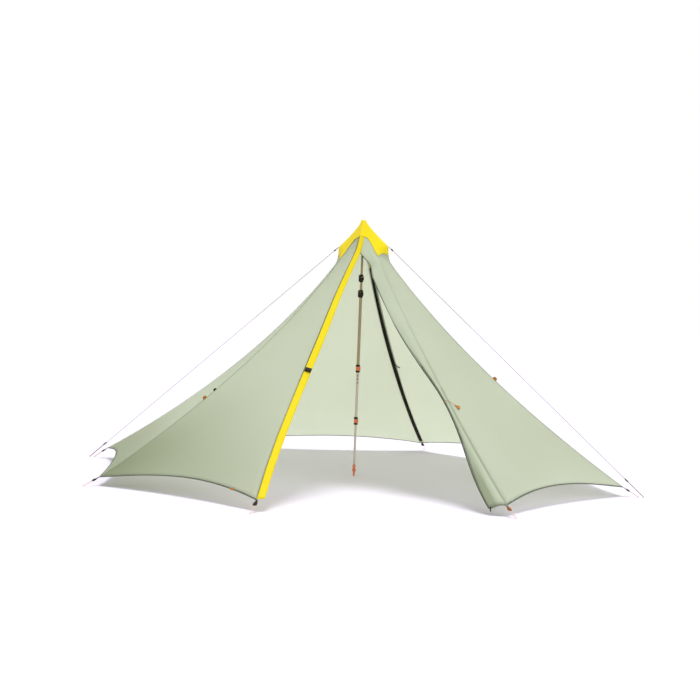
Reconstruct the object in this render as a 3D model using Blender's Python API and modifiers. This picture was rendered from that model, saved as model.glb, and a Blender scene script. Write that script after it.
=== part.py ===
"""Floorless eight-sided pyramid tent on one telescoping centre pole.

Metres, +Z up. The origin is on the ground under the apex. -Y is the front, where the front
zip runs down one ridge, and +Y is the back, where the second door is zipped shut. Guy lines
pull the peak cap to -X and +X.
"""

import math

import bmesh
import bpy
from mathutils import Matrix, Vector

# Canopy: driving sizes
APEX_HEIGHT = 1.700
HEM_REACH = 1.840
HEM_HEIGHT = 0.060
TOP_RADIUS = 0.013
FABRIC = 0.0008
TOUCH_GAP = 0.0003
RIDGE_SAG_SKEW = 0.75
HEM_ARC_SHARE = 0.040
WALL_TOP_SHARE = 0.022
WALL_COLUMNS = 6
RIDGE_SHARES = (
    0.0, 0.022, 0.043, 0.063, 0.080, 0.097, 0.112, 0.128, 0.152, 0.190, 0.240, 0.300,
    0.370, 0.450, 0.530, 0.610, 0.700, 0.800, 0.900, 1.0,
)

# Corners, clockwise from the front seen from above: x and y as shares of HEM_REACH,
# height as a share of HEM_HEIGHT. They lie as the tent is pitched in the photograph.
CORNER_SHARES = {
    "front": (-0.011, -1.010, 1.00),
    "front_left": (-0.655, -0.740, 0.85),
    "left": (-0.980, 0.010, 1.15),
    "back_left": (-0.700, 0.715, 1.00),
    "back": (0.0, 1.060, 1.00),
    "back_right": (0.700, 0.705, 1.00),
    "right": (0.965, -0.010, 0.95),
    "front_right": (0.685, -0.706, 1.00),
}
CORNERS = list(CORNER_SHARES)
FREE_WALL = ("front", "front_right")

# How deep each ridge sags, as a share of its length: the open front is pulled straighter
RIDGE_SAG_SHARES = {
    "front": 0.010, "front_left": 0.060, "left": 0.068, "back_left": 0.060,
    "back": 0.060, "back_right": 0.056, "right": 0.052, "front_right": 0.028,
}

# How far the open front ridge bows sideways at each station, as a share of its length:
# towards the door near the peak, and towards the pegged wall below
FRONT_BOW_SHARES = (
    0.0, 0.0024, 0.0044, 0.0064, 0.0080, 0.0092, 0.0100, 0.0096, 0.0080, 0.0048, 0.0012, -0.0020,
    -0.0036, -0.0048, -0.0068, -0.0088, -0.0100, -0.0100, -0.0068, 0.0,
)

# Guy-outs of the cap: where they pull the side ridges outwards
GUY_SHARE = 0.097
GUY_FLARE = 0.052
GUY_FLARE_ABOVE_SHARE = 0.097
GUY_FLARE_BELOW_SHARE = 0.040
GUY_FLARE_POWER = 1.8

# Peak cap: how far down its lower edge lies, from a diagonal ridge to the next ridge
CAP_LIFT = 0.0018
CAP_FRONT_SHARE = 0.063
CAP_POINT_SHARE = 0.128
CAP_FRONT_EDGE_SHARES = (CAP_POINT_SHARE, 0.078, 0.064, 0.063, 0.063, 0.063, CAP_FRONT_SHARE)
CAP_SIDE_EDGE_SHARES = (CAP_POINT_SHARE, 0.121, 0.116, 0.113, 0.112, 0.113, 0.116)

# Storm flaps and zips on the front and back ridges
FLAP_TOP_WIDTH = 0.034
FLAP_WIDTH = 0.046
FLAP_LIFT = 0.0014
FLAP_FOLD_WIDTH = 0.003
FLAP_GAP_SHARE = 0.0012
FLAP_END_SHARE = 0.997
STRIP_COLUMNS = 4
ZIP_TAPE_WIDTH = 0.012
ZIP_BACKING_WIDTH = 0.030
ZIP_BACKING_TOP_SHARE = 0.120
ZIP_END_SHARE = 0.985
ZIP_SINK = 0.0016
SLIDER_LENGTH = 0.016
SLIDER_WIDTH = 0.009
SLIDER_DEPTH = 0.0035
ZIP_TOP_SHARE = 0.100
SLIDER_FRONT_SHARE = 0.114
SLIDER_FRONT_LOW_SHARE = 0.150
SLIDER_BACK_SHARE = 0.955

# Front door, unzipped and gathered along the front right ridge
DOOR_CLOSED_SHARE = 0.097
DOOR_FOLDED_SHARE = 0.152
DOOR_NARROWING_SHARE = 0.360
DOOR_TIE_SHARE = 0.650
DOOR_TOP_WIDTH = 0.088
DOOR_TIED_WIDTH = 0.014
DOOR_HEM_WIDTH = 0.090
DOOR_LEGS = 5
DOOR_FOLD_DEPTH = 0.0085
DOOR_TIED_FOLD_DEPTH = 0.0042
DOOR_COLUMNS = 20
DOOR_SPLIT_COUNT = 2

# Door tie: elastic cord and toggle
TIE_CORD_RADIUS = 0.0012
TIE_CLEARANCE = 0.0050
TIE_POINTS = 44
TOGGLE_SIDE = 0.036
TOGGLE_THICKNESS = 0.005
TOGGLE_DISTANCE = 0.073
TOGGLE_DROP = 0.055
TOGGLE_LIFT = 0.0004
WALL_STEP = 0.01

# Pole: tube radii and wall
POLE_THICK_RADIUS = 0.0100
POLE_MIDDLE_RADIUS = 0.0087
POLE_THIN_RADIUS = 0.0074
POLE_WALL = 0.0009
POLE_INSERT = 0.080
POLE_STEPS = 24

# Pole: heights of the foot and of the four lever locks
FOOT_HEIGHT = 0.082
FOOT_TIP_RADIUS = 0.0035
FOOT_RADIUS = 0.0125
FOOT_NECK_LENGTH = 0.020
LOCK_HEIGHT = 0.052
LOWER_LOCK_AT = 0.344
MIDDLE_LOCK_AT = 0.692
UPPER_LOCK_AT = 1.188
TOP_LOCK_AT = 1.290
POLE_TIP_RADIUS = 0.0105
POLE_TIP_LENGTH = 0.022

# Lever locks
LOCK_WALL = 0.0032
LOCK_CHAMFER = 0.0015
EAR_LENGTH = 0.0085
EAR_WIDTH = 0.0075
LEVER_HEIGHT = 0.026
LEVER_THICKNESS = 0.0026
LEVER_CLEARANCE = 0.0008
LEVER_ARC_DEG = 150.0
LEVER_LIP_DEG = 14.0
LEVER_PIN_RADIUS = 0.0012
LEVER_PIN_CLEARANCE = 0.0003
LEVER_PIN_BITE = 0.0022
LEVER_BARREL_RADIUS = 0.0026
LEVER_COLUMNS = 10

# Guy lines
GUY_RADIUS = 0.0012
GUY_ANCHOR_REACH = 0.130
GUY_ANCHOR_HEIGHT = 0.0022
GUY_LOOP_WIDTH = 0.011
GUY_LOOP_LENGTH = 0.150
GUY_TAB_LENGTH = 0.020
GUY_TAB_WIDTH = 0.016
GUY_TAB_THICKNESS = 0.0022
GUY_TAB_GAP = 0.0018
GUY_POINTS = 40
TENSIONER_LENGTH = 0.026
TENSIONER_WIDTH = 0.020
TENSIONER_THICKNESS = 0.0065
TENSIONER_BORE_CLEARANCE = 0.0005

# Corner adjusters and stake loops
LOCK_GAP = 0.0006
STRAP_LENGTH = 0.020
STRAP_WIDTH = 0.014
STRAP_THICKNESS = 0.0018
ADJUSTER_LENGTH = 0.024
ADJUSTER_WIDTH = 0.022
ADJUSTER_THICKNESS = 0.0070
ADJUSTER_BEVEL = 0.0012
ANCHOR_REACH = 0.100
LOOP_RADIUS = 0.0015
LOOP_WIDTH = 0.013
LOOP_BORE_CLEARANCE = 0.0005
LOOP_TRAVEL_IN = 0.010
LOOP_ENTRY = 0.004
LOOP_POINTS = 22

# Small webbing tabs on the ridges, and the buckle half way down the front flap
TAB_LENGTH = 0.034
TAB_WIDTH = 0.016
TAB_THICKNESS = 0.0020
TAB_LIFT = 0.0006
LEFT_TAB_SHARE = 0.660
RIGHT_TAB_SHARE = 0.560
FLAP_BUCKLE_SHARE = 0.574
FLAP_BUCKLE_LENGTH = 0.034
FLAP_BUCKLE_WIDTH = 0.040
FLAP_BUCKLE_THICKNESS = 0.006
CORNER_TOGGLE_LENGTH = 0.028
CORNER_TOGGLE_RADIUS = 0.0035

# One overrun for every cutter
OVERRUN = 0.004

# Colours as linear red, green, blue, then roughness and metallic
FINISHES = {
    "sage fabric": ((0.560, 0.620, 0.470), 0.55, 0.0),
    "yellow fabric": ((0.920, 0.750, 0.010), 0.50, 0.0),
    "black tape": ((0.010, 0.012, 0.008), 0.70, 0.0),
    "bronze tube": ((0.360, 0.240, 0.130), 0.32, 1.0),
    "grey tube": ((0.520, 0.500, 0.470), 0.32, 1.0),
    "black plastic": ((0.012, 0.012, 0.012), 0.45, 0.0),
    "orange plastic": ((0.700, 0.160, 0.060), 0.40, 0.0),
    "grey plastic": ((0.330, 0.290, 0.280), 0.45, 0.0),
    "orange webbing": ((0.480, 0.150, 0.030), 0.75, 0.0),
    "pink cord": ((0.620, 0.360, 0.330), 0.80, 0.0),
}


def start_scene():
    """Empty the scene and make the two collections."""
    for old in list(bpy.data.objects):
        bpy.data.objects.remove(old, do_unlink=True)
    made = []
    for name in ("pyramid_tent", "cutters"):
        group = bpy.data.collections.new(name)
        bpy.context.scene.collection.children.link(group)
        made.append(group)
    return made


PARTS, CUTTERS = start_scene()


def finish(name):
    """Return the Principled material of one finish."""
    found = bpy.data.materials.get(name)
    if found:
        return found
    colour, roughness, metallic = FINISHES[name]
    made = bpy.data.materials.new(name)
    made.use_nodes = True
    shader = made.node_tree.nodes["Principled BSDF"]
    shader.inputs["Base Color"].default_value = (*colour, 1.0)
    shader.inputs["Roughness"].default_value = roughness
    shader.inputs["Metallic"].default_value = metallic
    return made


def add_part(name, data, finish_name, place=None):
    """Link one named part."""
    part = bpy.data.objects.new(name, data)
    PARTS.objects.link(part)
    data.materials.clear()
    data.materials.append(finish(finish_name))
    if place is not None:
        part.matrix_world = place
    return part


def mesh_from(bm, name):
    """Turn a bmesh into mesh data."""
    data = bpy.data.meshes.new(name)
    bm.to_mesh(data)
    bm.free()
    return data


def add_cutter(part, mesh, operation, place=None):
    """Join a guide mesh to a part, or cut it out."""
    guide = bpy.data.objects.new(part.name + "_" + operation.lower(), mesh)
    CUTTERS.objects.link(guide)
    guide.matrix_world = part.matrix_world @ (place or Matrix())
    guide.hide_render = True
    guide.display_type = "WIRE"
    step = part.modifiers.new(operation.title(), "BOOLEAN")
    step.operation = operation
    step.solver = "EXACT"
    step.object = guide
    return guide


def applied(part):
    """Return the part's shape with its modifiers applied, and remove the part and its guides."""
    graph = bpy.context.evaluated_depsgraph_get()
    data = bpy.data.meshes.new_from_object(part.evaluated_get(graph))
    guides = [step.object for step in part.modifiers if step.type == "BOOLEAN"]
    for used in [part] + guides:
        bpy.data.objects.remove(used, do_unlink=True)
    return data


def box_mesh(name, size, centre=(0.0, 0.0, 0.0)):
    """A box of the given size."""
    bm = bmesh.new()
    bmesh.ops.create_cube(bm, size=1.0)
    bmesh.ops.scale(bm, vec=Vector(size), verts=bm.verts)
    bmesh.ops.translate(bm, vec=Vector(centre), verts=bm.verts)
    return mesh_from(bm, name)


def rod_mesh(name, radius, length, centre=(0.0, 0.0, 0.0), along="Z", sides=16):
    """A round rod along one axis."""
    bm = bmesh.new()
    bmesh.ops.create_cone(
        bm, cap_ends=True, segments=sides, radius1=radius, radius2=radius, depth=length
    )
    turns = {"X": Matrix.Rotation(math.pi / 2, 4, "Y"), "Z": Matrix()}
    bmesh.ops.transform(bm, matrix=Matrix.Translation(centre) @ turns[along], verts=bm.verts)
    return mesh_from(bm, name)


def add_turned(name, profile, finish_name, base=0.0, closed=False):
    """Turn a profile of (radius, height) about Z, outer side first, from the top down."""
    data = bpy.data.meshes.new(name)
    corners = [(radius, 0.0, height) for radius, height in profile]
    edges = [(i, i + 1) for i in range(len(corners) - 1)]
    if closed:
        edges.append((len(corners) - 1, 0))
    data.from_pydata(corners, edges, [])
    part = add_part(name, data, finish_name, Matrix.Translation((0.0, 0.0, base)))
    spin = part.modifiers.new("Turn", "SCREW")
    spin.steps = POLE_STEPS
    spin.render_steps = POLE_STEPS
    spin.use_merge_vertices = True
    spin.merge_threshold = 0.00001
    spin.use_smooth_shade = True
    return part


def add_cloth(name, columns, rows, place, finish_name, thickness=FABRIC, weld=False):
    """A cloth sheet: a grid with a row at each share, placed by a function, then given its wall."""
    bm = bmesh.new()
    bmesh.ops.create_grid(bm, x_segments=columns, y_segments=len(rows) - 1, size=0.5)
    for vert in bm.verts:
        across = vert.co.x + 0.5
        row = round((0.5 - vert.co.y) * (len(rows) - 1))
        vert.co = place(across, rows[row])
    if weld:
        bmesh.ops.remove_doubles(bm, verts=bm.verts, dist=TOUCH_GAP / 10)
    data = mesh_from(bm, name)
    part = add_part(name, data, finish_name)
    wall = part.modifiers.new("Wall", "SOLIDIFY")
    wall.thickness = thickness
    wall.offset = 0.0
    return part


def add_cord(name, points, radius, finish_name, place=None):
    """A round cord along a POLY spline, with its ends closed."""
    data = bpy.data.curves.new(name, "CURVE")
    data.dimensions = "3D"
    data.bevel_depth = radius
    data.bevel_resolution = 2
    data.use_fill_caps = True
    line = data.splines.new("POLY")
    line.points.add(len(points) - 1)
    for spot, point in zip(line.points, points):
        spot.co = (*point, 1.0)
    return add_part(name, data, finish_name, place)


def smooth_route(points, count):
    """Points spread evenly along a smooth curve through the route's own points."""
    spots = [Vector(point) for point in points]
    ends = [2 * spots[0] - spots[1]] + spots + [2 * spots[-1] - spots[-2]]
    fine = []
    for i in range(1, len(ends) - 2):
        before, a, b, after = ends[i - 1 : i + 3]
        for step in range(24):
            s = step / 24
            bend = (2 * before - 5 * a + 4 * b - after) * s * s
            fine.append(0.5 * (2 * a + (b - before) * s + bend + (3 * a - before - 3 * b + after) * s**3))
    fine.append(spots[-1])
    reach = [0.0]
    for a, b in zip(fine, fine[1:]):
        reach.append(reach[-1] + (b - a).length)
    out = []
    at = 0
    for k in range(count):
        want = reach[-1] * k / (count - 1)
        while at < len(reach) - 2 and reach[at + 1] < want:
            at += 1
        part = (want - reach[at]) / (reach[at + 1] - reach[at])
        out.append(fine[at].lerp(fine[at + 1], part))
    return out


def along(origin, direction, side=None):
    """A frame at origin: X along the direction, Y to the side, Z out."""
    x = Vector(direction).normalized()
    y = Vector(side) if side is not None else Vector((0.0, 0.0, 1.0)).cross(x)
    y = (y - x * y.dot(x)).normalized()
    z = x.cross(y)
    turn = Matrix((x, y, z)).transposed().to_4x4()
    return Matrix.Translation(Vector(origin)) @ turn


def corner(name):
    """A hem corner."""
    x_share, y_share, height_share = CORNER_SHARES[name]
    return Vector((x_share * HEM_REACH, y_share * HEM_REACH, height_share * HEM_HEIGHT))


def outward(name):
    """Level direction from the pole to a corner."""
    spot = corner(name)
    return Vector((spot.x, spot.y, 0.0)).normalized()


def sag_shape(share):
    """Sag along a ridge, 0 at both ends and 1 at its deepest."""
    deepest = RIDGE_SAG_SKEW / (1.0 + RIDGE_SAG_SKEW)
    peak = deepest**RIDGE_SAG_SKEW * (1.0 - deepest)
    return max(share, 0.0) ** RIDGE_SAG_SKEW * (1.0 - share) / peak


def guy_flare(name, share):
    """How far the guy lines pull a side ridge outwards."""
    if name not in ("left", "right"):
        return 0.0
    above = share < GUY_SHARE
    reach = GUY_FLARE_ABOVE_SHARE if above else GUY_FLARE_BELOW_SHARE
    away = min(abs(share - GUY_SHARE) / reach, 1.0)
    return GUY_FLARE * (1.0 - away) ** (1.0 if above else GUY_FLARE_POWER)


def ridge(name, share, lift=0.0):
    """A point on a ridge seam, from 0 at the peak to 1 at the hem corner.

    The seam is straight between the ridge's stations, so that cloths which share a ridge
    lie flat on each other however many rows they have.
    """
    level = outward(name)
    top = level * TOP_RADIUS + Vector((0.0, 0.0, APEX_HEIGHT))
    chord = corner(name) - top
    run = chord.normalized()
    out = (level - run * level.dot(run)).normalized()
    above = [k for k, station in enumerate(RIDGE_SHARES[:-1]) if station <= share] or [0]
    low, high = RIDGE_SHARES[above[-1]], RIDGE_SHARES[above[-1] + 1]
    beside = Vector((0.0, 0.0, 1.0)).cross(level)
    moved = []
    for station, bow in zip((low, high), FRONT_BOW_SHARES[above[-1] : above[-1] + 2]):
        sag = RIDGE_SAG_SHARES[name] * chord.length * sag_shape(station)
        sideways = bow * chord.length if name == "front" else 0.0
        moved.append(out * (guy_flare(name, station) - sag) + beside * sideways)
    part = (share - low) / (high - low)
    return top + chord * share + out * lift + moved[0].lerp(moved[1], part)


def stations(top_share, end_share, splits=1):
    """The ridge's stations between two shares, with both ends and any further splits."""
    inner = [s for s in RIDGE_SHARES if top_share < s < end_share]
    marks = [top_share] + inner + [end_share]
    out = [top_share]
    for low, high in zip(marks, marks[1:]):
        out += [low + (high - low) * k / splits for k in range(1, splits + 1)]
    return out


def seam_point(first, second, share, distance, lift=0.0):
    """A point at a distance from one ridge, level across the wall towards the next ridge."""
    start = ridge(first, share, lift)
    step = ridge(second, share, lift) - start
    return start + step.normalized() * distance


SEAM_INSET = TOUCH_GAP * 0.5 + FABRIC * 0.3


def wall_place(first, second):
    """Placing function of the wall between two ridges, with its arched hem."""

    def place(across, share):
        arch = 4.0 * across * (1.0 - across)
        share *= 1.0 - HEM_ARC_SHARE * arch * share**2
        a = seam_point(first, second, share, SEAM_INSET)
        b = seam_point(second, first, share, SEAM_INSET)
        return a.lerp(b, across)

    return place


def ridge_strip(name, left, right, width, lift, left_width=None):
    """Placing function of a strip that folds over a ridge, in its middle unless a left width is given."""

    def place(across, share):
        whole = width(share)
        half = left_width or whole / 2
        if across < 0.5:
            return seam_point(name, left, share, half * (1.0 - 2.0 * across), lift)
        return seam_point(name, right, share, (whole - half) * (2.0 * across - 1.0), lift)

    return place


def blend_between(value, low, high):
    """Ease from 0 below low to 1 above high."""
    s = min(max((value - low) / (high - low), 0.0), 1.0)
    return s * s * (3.0 - 2.0 * s)


def door_section(share):
    """Folded width, depth of one fold and how far the door is folded at a share of the ridge."""
    narrowed = blend_between(share, DOOR_NARROWING_SHARE, DOOR_TIE_SHARE)
    widened = blend_between(share, DOOR_TIE_SHARE, 1.0)
    width = DOOR_TOP_WIDTH + (DOOR_TIED_WIDTH - DOOR_TOP_WIDTH) * narrowed
    width += (DOOR_HEM_WIDTH - DOOR_TIED_WIDTH) * widened
    tied = narrowed - widened
    depth = DOOR_FOLD_DEPTH + (DOOR_TIED_FOLD_DEPTH - DOOR_FOLD_DEPTH) * tied
    folded = blend_between(share, DOOR_CLOSED_SHARE, DOOR_FOLDED_SHARE)
    return width, depth, folded


def door_frame(share):
    """The seam point of the gathered door, its level direction to the opening and inwards."""
    first, second = FREE_WALL
    seam = ridge(second, share)
    across = (ridge(first, share) - seam).normalized()
    down = (ridge(second, share + 0.01) - seam).normalized()
    inward = down.cross(across).normalized()
    if inward.dot(outward(second)) > 0.0:
        inward = -inward
    return seam, across, inward


def door_place(across_share, share):
    """Placing function of the front door: flat at the top, folded back and forth below."""
    width, depth, folded = door_section(share)
    first, second = FREE_WALL
    seam, across, inward = door_frame(share)
    full = (ridge(first, share) - seam).length - 2.0 * SEAM_INSET
    swing = 0.5 * (1.0 - math.cos(math.pi * DOOR_LEGS * across_share))
    flat_at = full * across_share
    fold_at = width * swing
    sideways = SEAM_INSET + flat_at + (fold_at - flat_at) * folded
    return seam + across * sideways + inward * (DOOR_LEGS * depth * across_share * folded)


def walls():
    """The seven walls that stay put and the gathered front door."""
    for first, second in zip(CORNERS, CORNERS[1:] + CORNERS[:1]):
        if (second, first) == FREE_WALL:
            continue
        name = "wall_" + first + "_to_" + second
        rows = stations(WALL_TOP_SHARE, 1.0)
        add_cloth(name, WALL_COLUMNS, rows, wall_place(first, second), "sage fabric")
    rows = stations(WALL_TOP_SHARE, 1.0, DOOR_SPLIT_COUNT)
    add_cloth("front_door", DOOR_COLUMNS, rows, door_place, "sage fabric")


def cap_columns():
    """Columns of the peak cap: two corner names, share across and how far down the edge lies."""
    deep = {"front_left", "back_left", "back_right", "front_right"}
    out = []
    for first, second in zip(CORNERS, CORNERS[1:] + CORNERS[:1]):
        under_flap = {first, second} & {"front", "back"}
        edges = CAP_FRONT_EDGE_SHARES if under_flap else CAP_SIDE_EDGE_SHARES
        if first not in deep:
            edges = edges[::-1]
        for k, edge in enumerate(edges[:-1]):
            out.append((first, second, k / WALL_COLUMNS, edge))
    return out


def peak_cap():
    """The yellow cap over the peak, with points down the diagonal ridges."""
    columns = cap_columns()

    def place(across, share):
        first, second, share_across, edge = columns[round(across * len(columns)) % len(columns)]
        if share < 0.0:
            return Vector((0.0, 0.0, APEX_HEIGHT + CAP_LIFT))
        share = min(share, edge)
        return ridge(first, share, CAP_LIFT).lerp(ridge(second, share, CAP_LIFT), share_across)

    rows = [-1.0] + stations(0.0, CAP_POINT_SHARE)
    add_cloth("peak_cap", len(columns), rows, place, "yellow fabric", weld=True)


def flap_width(share):
    """Width of a storm flap, narrower at the top."""
    return FLAP_TOP_WIDTH + (FLAP_WIDTH - FLAP_TOP_WIDTH) * blend_between(share, 0.0, 0.5)


def flaps_and_zips():
    """Yellow storm flaps outside the two zips, and the tapes inside."""
    rows = stations(CAP_FRONT_SHARE + FLAP_GAP_SHARE, FLAP_END_SHARE)
    place = ridge_strip("front", "front_left", "front_right", flap_width, FLAP_LIFT, FLAP_FOLD_WIDTH)
    add_cloth("front_storm_flap", STRIP_COLUMNS, rows, place, "yellow fabric")
    place = ridge_strip("back", "back_right", "back_left", lambda share: FLAP_TOP_WIDTH, FLAP_LIFT)
    add_cloth("back_storm_flap", STRIP_COLUMNS, rows, place, "yellow fabric")

    def tape_place(across, share):
        beside = SEAM_INSET + ZIP_TAPE_WIDTH * across
        return seam_point("front", "front_left", share, beside, -ZIP_SINK)

    rows = stations(ZIP_TOP_SHARE, ZIP_END_SHARE)
    add_cloth("front_zip_tape", 1, rows, tape_place, "black tape")
    backing = ridge_strip("back", "back_left", "back_right", lambda share: ZIP_BACKING_WIDTH, -ZIP_SINK)
    rows = stations(ZIP_BACKING_TOP_SHARE, ZIP_END_SHARE)
    add_cloth("back_zip_backing", STRIP_COLUMNS, rows, backing, "black tape")


def ridge_run(name, share):
    """Direction down a ridge at a share of its length."""
    return (ridge(name, share + 0.005) - ridge(name, share - 0.005)).normalized()


def fold_depth(name, share, distance):
    """How far inwards the two walls have folded at a distance from their ridge."""
    at = CORNERS.index(name)
    start = ridge(name, share)
    out = ridge(name, share, HEM_REACH) - start
    out.normalize()
    sides = (CORNERS[at - 1], CORNERS[(at + 1) % len(CORNERS)])
    return max((start - seam_point(name, side, share, distance)).dot(out) for side in sides)


def inside_frame(spot, run, side, sink):
    """Frame sunk inside the cloth at a spot: X down the ridge, Z outwards."""
    out = run.cross(side).normalized()
    if out.dot(spot) < 0.0:
        out = -out
    return along(spot - out * sink, run, out.cross(run))


def front_slide():
    """Start of the front zip slider on its tape, and the direction of its straight path."""
    beside = SEAM_INSET + ZIP_TAPE_WIDTH / 2
    spot = seam_point("front", "front_left", SLIDER_FRONT_SHARE, beside)
    low = seam_point("front", "front_left", SLIDER_FRONT_LOW_SHARE, beside)
    return spot, (low - spot).normalized()


def zip_sliders():
    """The two zip sliders: beside the open front ridge, and on the closed back ridge."""
    body = box_mesh("zip_slider", (SLIDER_LENGTH, SLIDER_WIDTH, SLIDER_DEPTH))
    sink = ZIP_SINK + FABRIC + TOUCH_GAP + SLIDER_DEPTH / 2
    share = SLIDER_FRONT_SHARE
    spot, run = front_slide()
    side = ridge("front_left", share) - ridge("front", share)
    frame = inside_frame(spot, run, side, sink)
    add_part("front_zip_slider", body, "black plastic", frame)
    share = SLIDER_BACK_SHARE
    side = Vector((0.0, 0.0, 1.0)).cross(outward("back"))
    sink += fold_depth("back", share, SLIDER_WIDTH / 2)
    frame = inside_frame(ridge("back", share), ridge_run("back", share), side, sink)
    add_part("back_zip_slider", body, "black plastic", frame)


def add_tube(name, radius, low, high, finish_name):
    """One hollow pole tube."""
    bore = radius - POLE_WALL
    length = high - low
    profile = [(radius, length), (radius, 0.0), (bore, 0.0), (bore, length)]
    return add_turned(name, profile, finish_name, low, closed=True)


def lock_radius(outer):
    """Outer radius of a lock sleeve on a tube of the given radius."""
    return outer + TOUCH_GAP + LOCK_WALL


def hinge_reach(outer):
    """Distance from the pole's axis to a lever's pin."""
    return lock_radius(outer) + LEVER_BARREL_RADIUS + LEVER_CLEARANCE


def add_lock(name, outer, inner, base, tube_below, turn_deg, lever_finish):
    """A lock sleeve, stepped over the end of the outer tube, with its wrap-round lever."""
    out = lock_radius(outer)
    wide = outer + TOUCH_GAP
    narrow = inner + TOUCH_GAP
    half = LOCK_HEIGHT / 2
    step_at = half + TOUCH_GAP if tube_below else half - TOUCH_GAP
    top_bore, low_bore = (narrow, wide) if tube_below else (wide, narrow)
    profile = [
        (top_bore, LOCK_HEIGHT), (out - LOCK_CHAMFER, LOCK_HEIGHT), (out, LOCK_HEIGHT - LOCK_CHAMFER),
        (out, LOCK_CHAMFER), (out - LOCK_CHAMFER, 0.0), (low_bore, 0.0),
        (low_bore, step_at), (top_bore, step_at),
    ]
    sleeve = add_turned(name + "_lock", profile, "black plastic", base, closed=True)
    sleeve.matrix_world = Matrix.Translation((0.0, 0.0, base)) @ Matrix.Rotation(
        math.radians(turn_deg), 4, "Z"
    )
    pin_x = hinge_reach(outer)
    ear_height = LEVER_HEIGHT + 2.0 * EAR_LENGTH
    ear_depth = pin_x + LEVER_BARREL_RADIUS - narrow - LOCK_WALL / 2
    ear_centre = (narrow + LOCK_WALL / 2 + ear_depth / 2, 0.0, half)
    ears = box_mesh(name + "_ears", (ear_depth, EAR_WIDTH, ear_height), ear_centre)
    add_cutter(sleeve, ears, "UNION")
    slot_size = (ear_depth, EAR_WIDTH + OVERRUN, LEVER_HEIGHT + 2.0 * TOUCH_GAP)
    slot_centre = (out + ear_depth / 2, 0.0, half)
    add_cutter(sleeve, box_mesh(name + "_slot", slot_size, slot_centre), "DIFFERENCE")
    bore_length = LEVER_HEIGHT + 2.0 * (LEVER_PIN_BITE + TOUCH_GAP)
    bore = rod_mesh(
        name + "_pin_bore", LEVER_PIN_RADIUS + LEVER_PIN_CLEARANCE, bore_length, (pin_x, 0.0, half)
    )
    add_cutter(sleeve, bore, "DIFFERENCE")
    clear = rod_mesh(name + "_bore", wide, half + OVERRUN, (0.0, 0.0, bore_middle(tube_below)))
    tight = rod_mesh(name + "_narrow_bore", narrow, LOCK_HEIGHT + OVERRUN, (0.0, 0.0, half))
    for cutter in (clear, tight):
        add_cutter(sleeve, cutter, "DIFFERENCE")
    add_lever(name, out, pin_x, sleeve.matrix_world @ Matrix.Translation((0.0, 0.0, half)), lever_finish)


def bore_middle(tube_below):
    """Height of the middle of the wide bore's cutter, inside a lock."""
    half = LOCK_HEIGHT / 2
    if tube_below:
        return half + TOUCH_GAP - (half + OVERRUN) / 2
    return half - TOUCH_GAP + (half + OVERRUN) / 2


def add_lever(name, sleeve_radius, pin_x, place, finish_name):
    """The cam lever: a curved plate round the sleeve, with its barrel and pin."""
    radius = sleeve_radius + LEVER_CLEARANCE + LEVER_THICKNESS / 2
    bm = bmesh.new()
    bmesh.ops.create_grid(bm, x_segments=LEVER_COLUMNS, y_segments=1, size=0.5)
    start = math.asin(LEVER_BARREL_RADIUS / radius) * 0.4
    for vert in bm.verts:
        share = vert.co.x + 0.5
        angle = start + math.radians(LEVER_ARC_DEG) * share
        lip = max(share * LEVER_ARC_DEG - (LEVER_ARC_DEG - LEVER_LIP_DEG), 0.0) / LEVER_LIP_DEG
        reach = radius + LEVER_THICKNESS * lip
        vert.co = Vector((reach * math.cos(angle), reach * math.sin(angle), vert.co.y * LEVER_HEIGHT))
    lever = add_part(name + "_lever", mesh_from(bm, name + "_lever"), finish_name, place)
    wall = lever.modifiers.new("Wall", "SOLIDIFY")
    wall.thickness = LEVER_THICKNESS
    wall.offset = 0.0
    barrel = rod_mesh(name + "_barrel", LEVER_BARREL_RADIUS, LEVER_HEIGHT, (pin_x, 0.0, 0.0))
    add_cutter(lever, barrel, "UNION")
    pin_length = LEVER_HEIGHT + 2.0 * LEVER_PIN_BITE
    pin = rod_mesh(name + "_pin", LEVER_PIN_RADIUS, pin_length, (pin_x, 0.0, 0.0))
    add_cutter(lever, pin, "UNION")


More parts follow.
